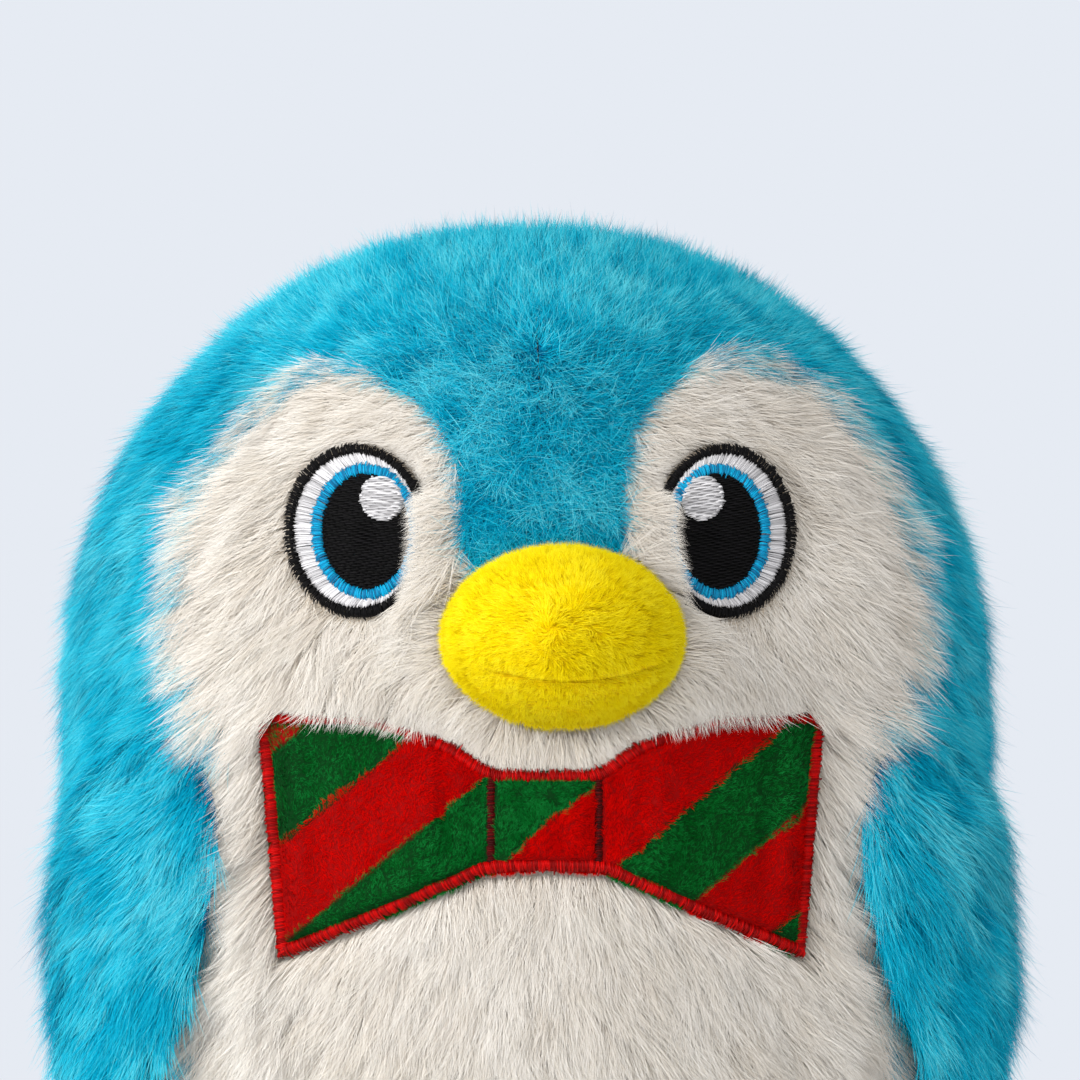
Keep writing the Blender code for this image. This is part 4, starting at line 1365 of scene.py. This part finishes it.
def build_bow_fabric(seed):
    """The striped plush of the bow tie, blown up between its stitching, with its short nap."""
    relief = bow_relief()
    x, z = bow_grid()
    front = front_point(x, z, BOW_FRONT + relief.ravel())
    fabric = add_piece("bow_tie_cloth", bow_cloth("bow_tie_cloth", front), "body", "bow_fabric",
                       "bow_tie_fabric")
    lowest = x[:BOW_COLUMNS]
    bottom, top = bow_edges(lowest)
    area = float(((top - bottom)[:-1] * np.diff(lowest)).sum()) * BOW_HALF_TOP / BOW_HALF_BOTTOM

    count = int(NAP.density * NAP_AREA)
    spots = np.random.default_rng(seed).uniform((-1.0, 0.0), (1.0, 1.0), (count, 2))
    x, z = bow_point(spots[:, 0], spots[:, 1])
    inside = in_bow(x, z, -BORDER_WIDTH * 0.85) & (np.abs(np.abs(x) - KNOT_X) > 0.0011)
    x = x[inside]
    z = z[inside]
    roots = front_point(x, z, BOW_FRONT + puffed(relief, x, z) - NAP.depth)
    normals = puffed_normals(relief, x, z, egg_normals(roots))
    flow = np.stack([0.25 + 0.6 * noise(roots, 0.006, seed + 2), np.zeros(len(x)),
                     0.45 + 0.7 * noise(roots, 0.007, seed + 3)], axis=1)
    length = np.ones(len(x))

    frayed = np.random.default_rng(seed + 1).uniform((-0.97, 0.0), (0.97, 1.0), (FRAYED_STRANDS, 2))
    ragged, _ = bow_point(frayed[:, 0], 0.0 * frayed[:, 0])
    edge = np.stack([ragged, 0.0 * ragged, 0.0 * ragged], axis=1)
    showing = noise(edge, 0.009, seed + 9) > 0.12
    ragged = ragged[showing]
    below = bow_edges(ragged)[0] - 0.0002 + 0.0008 * frayed[showing, 1]
    x = np.append(x, ragged)
    z = np.append(z, below)
    edge_roots = front_point(ragged, below, 0.0002)
    roots = np.concatenate([roots, edge_roots])
    normals = np.concatenate([normals, egg_normals(edge_roots)])
    flow = np.concatenate([flow, np.repeat([[0.0, 0.0, -1.0]], len(ragged), axis=0)])
    length = np.append(length, 0.5 + 0.5 * hashed(edge[showing] / 0.0008, seed + 8))

    wander = 0.0002 * noise(roots, 0.0011, seed) + 0.0003 * noise(roots, 0.006, seed + 1)
    green = ((stripe_place(x, z) + wander) / STRIPE_WIDTH).astype(int) % 2 == 0
    flow = unit(flow - normals * dot(flow, normals) + 1e-6)
    for colour, which in (("red", ~green), ("green", green)):
        pile = replace(NAP, tones=RED_TONES if colour == "red" else GREEN_TONES)
        plant(f"bow_tie_{colour}_nap", "body", pile, roots[which], normals[which], flow[which], seed + 5,
              length=length[which])


BORDER_STITCHES = 1000
ALONG_EDGE = 400
UP_SIDE = 60


def border_track(count):
    """Points round the bow tie's outline, evenly spaced, with the outward direction at each."""
    across = np.linspace(-1.0, 1.0, ALONG_EDGE)
    side = np.linspace(0.0, 1.0, UP_SIDE)
    end = np.ones(UP_SIDE)
    across = np.concatenate([across, end, np.linspace(1.0, -1.0, ALONG_EDGE), -end])
    up = np.concatenate([np.zeros(ALONG_EDGE), side, np.ones(ALONG_EDGE), side[::-1]])
    x, z = bow_point(across, up)
    track = np.stack([x, z], axis=1)
    closed = np.concatenate([track, track[:1]])
    run = np.concatenate([[0.0], np.cumsum(np.linalg.norm(np.diff(closed, axis=0), axis=1))])
    spots = np.linspace(0.0, run[-1], count, endpoint=False)
    line = np.stack([np.interp(spots, run, closed[:, number]) for number in range(2)], axis=1)
    near = 5
    along = np.roll(line, -near, axis=0) - np.roll(line, near, axis=0)
    along /= np.linalg.norm(along, axis=1, keepdims=True)
    return line, np.stack([along[:, 1], -along[:, 0]], axis=1)


def build_bow_stitching(seed):
    """The satin border round the bow tie and the two lines of stitches beside its knot."""
    random = np.random.default_rng(seed)
    line, outward_way = border_track(BORDER_STITCHES)
    outer = line + outward_way * (0.0003 + random.normal(0.0, 0.00022, len(line)))[:, None]
    inner = line - outward_way * (BORDER_WIDTH + random.normal(0.0, 0.0001, len(line)))[:, None]
    inner = np.roll(inner, 1, axis=0)
    shapes = Shapes()
    add_stitches(shapes, inner, outer, 0.0009, 0.0013, seed, width=0.00042, bends=6, round_off=1.0)
    add_piece("bow_border_stitches", shapes.mesh("bow_border", RED_THREAD), "body", "red_thread",
              "bow_border_stitching")
    for side, sign in (("left", -1.0), ("right", 1.0)):
        x = sign * KNOT_X
        bottom, top = bow_edges(np.array([x]))
        rows = np.arange(bottom[0] + BORDER_WIDTH * 0.8, top[0] - BORDER_WIDTH * 0.8, ROW_PITCH)
        near = np.stack([x - 0.0011 + random.normal(0.0, 0.0001, len(rows)), rows], axis=1)
        far = np.stack([x + 0.0011 + random.normal(0.0, 0.0001, len(rows)), rows + 0.0002], axis=1)
        shapes = Shapes()
        # The knot's stitches take the darker thread, which paints the shade of their recess.
        add_stitches(shapes, near, far, 0.0011, 0.0004, seed + 2, width=0.0004)
        add_piece("bow_knot_stitches_" + side, shapes.mesh("bow_knot", SHADED_KNOT_THREAD), "body", "red_thread",
                  "bow_knot_stitch_" + side)


# ---------------------------------------------------------------- care label

def build_label():
    """A satin ribbon folded back on itself, with both ends in the side seam."""
    low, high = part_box("care_label")
    middle_y = (low.y + high.y) / 2.0
    length = high.x - low.x
    rows = 40
    columns = 12
    share = np.linspace(0.0, 1.0, rows)
    turn_at = np.clip((share - 0.5) * 16.0, -1.0, 1.0)
    x = high.x - length * np.where(share < 0.5, share, 1.0 - share) * 2.0
    sag = 0.0012 * np.sin(np.pi * np.minimum(share, 1.0 - share) * 2.0)
    y = middle_y + 0.0010 * np.sin(turn_at * np.pi / 2.0) + sag
    z = np.linspace(low.z, high.z, columns)
    points = np.stack(np.broadcast_arrays(x[:, None], y[:, None], z[None, :]), axis=-1)
    shapes = Shapes()
    shapes.add(points, grid_faces(rows, columns))
    mesh = shapes.mesh("label_ribbon", [RIBBON])
    ribbon = add_piece("care_label_ribbon", mesh, "label", "label_ribbon", "care_label")
    thick = ribbon.modifiers.new("thickness", "SOLIDIFY")
    thick.thickness = 0.00025
    thick.offset = 0.0


# ---------------------------------------------------------------- studio

BACKGROUND = (230, 235, 243)
CAMERA_DISTANCE = 3.0
CAMERA_HEIGHT = 0.170
CAMERA_TURN = math.radians(-2.8)
CAMERA_LENS = 500.0
AIM_RIGHT = 0.0028
FLOOR_RADIUS = 1.45


def look_at(obj, target):
    obj.rotation_euler = (Vector(target) - obj.location).to_track_quat("-Z", "Y").to_euler()


def build_camera():
    camera = linked("camera", bpy.data.cameras.new("camera"))
    camera.data.lens = CAMERA_LENS
    camera.data.sensor_width = 36.0
    camera.data.clip_start = 0.05
    camera.data.clip_end = 100.0
    sideways = Vector((math.cos(CAMERA_TURN), math.sin(CAMERA_TURN), 0.0))
    target = Vector((0.0, 0.0, CAMERA_HEIGHT)) + sideways * AIM_RIGHT
    away = Vector((math.sin(CAMERA_TURN), -math.cos(CAMERA_TURN), 0.0))
    camera.location = target + away * CAMERA_DISTANCE
    look_at(camera, target)
    bpy.context.scene.camera = camera


def add_light(name, place, target, size, power, colour=(1.0, 1.0, 1.0)):
    light = bpy.data.lights.new(name, "AREA")
    light.shape = "DISK"
    light.size = size
    light.energy = power
    light.color = colour
    obj = linked(name, light)
    obj.location = place
    obj.visible_camera = False
    look_at(obj, target)


def build_studio():
    middle = (0.0, 0.0, 0.12)
    add_light("key_light", (-1.8, -1.25, 0.80), middle, 0.9, 40.0, (1.0, 0.985, 0.96))
    add_light("fill_light", (0.10, -2.0, 1.05), middle, 1.2, 18.5, (1.0, 0.98, 0.95))
    add_light("top_light", (0.0, 0.2, 1.9), middle, 1.2, 8.0)
    add_light("back_light", (-0.4, 1.9, 0.9), middle, 1.2, 10.0)

    world = bpy.data.worlds.new("studio")
    bpy.context.scene.world = world
    world.use_nodes = True
    nodes = world.node_tree.nodes
    links = world.node_tree.links
    seen = nodes["Background"]
    seen.inputs["Color"].default_value = rgba(BACKGROUND)
    room = nodes.new("ShaderNodeBackground")
    room.inputs["Color"].default_value = (0.98, 0.98, 0.98, 1.0)
    room.inputs["Strength"].default_value = 0.42
    path = nodes.new("ShaderNodeLightPath")
    mix = nodes.new("ShaderNodeMixShader")
    links.new(path.outputs["Is Camera Ray"], mix.inputs["Fac"])
    links.new(room.outputs["Background"], mix.inputs[1])
    links.new(seen.outputs["Background"], mix.inputs[2])
    links.new(mix.outputs["Shader"], nodes["World Output"].inputs["Surface"])

    bm = bmesh.new()
    bmesh.ops.create_circle(bm, cap_ends=True, segments=96, radius=FLOOR_RADIUS)
    mesh = bpy.data.meshes.new("studio_floor")
    bm.to_mesh(mesh)
    bm.free()
    floor = linked("studio_floor", mesh)
    mesh.materials.append(material("floor_paper", (232, 234, 238), roughness=0.9, specular=0.1))
    bpy.context.scene.view_settings.view_transform = "Standard"


build_body()
for side, sign, seed in (("left", -1.0, 300), ("right", 1.0, 400)):
    build_eye(side, sign, seed)
    build_flipper(side, sign, seed + 50)
    build_foot(side, seed + 60)
build_beak_half("upper", 1.0, 500)
build_beak_half("lower", -1.0, 510)
build_bow_fabric(520)
build_bow_stitching(540)
build_tail(550)
build_label()
for node in ("beak_stuffing", "flipper_stuffing_left", "flipper_stuffing_right", "foot_stuffing_left",
             "foot_stuffing_right"):
    set_material(frame["nodes"][node].data, FILLING)
build_camera()
build_studio()
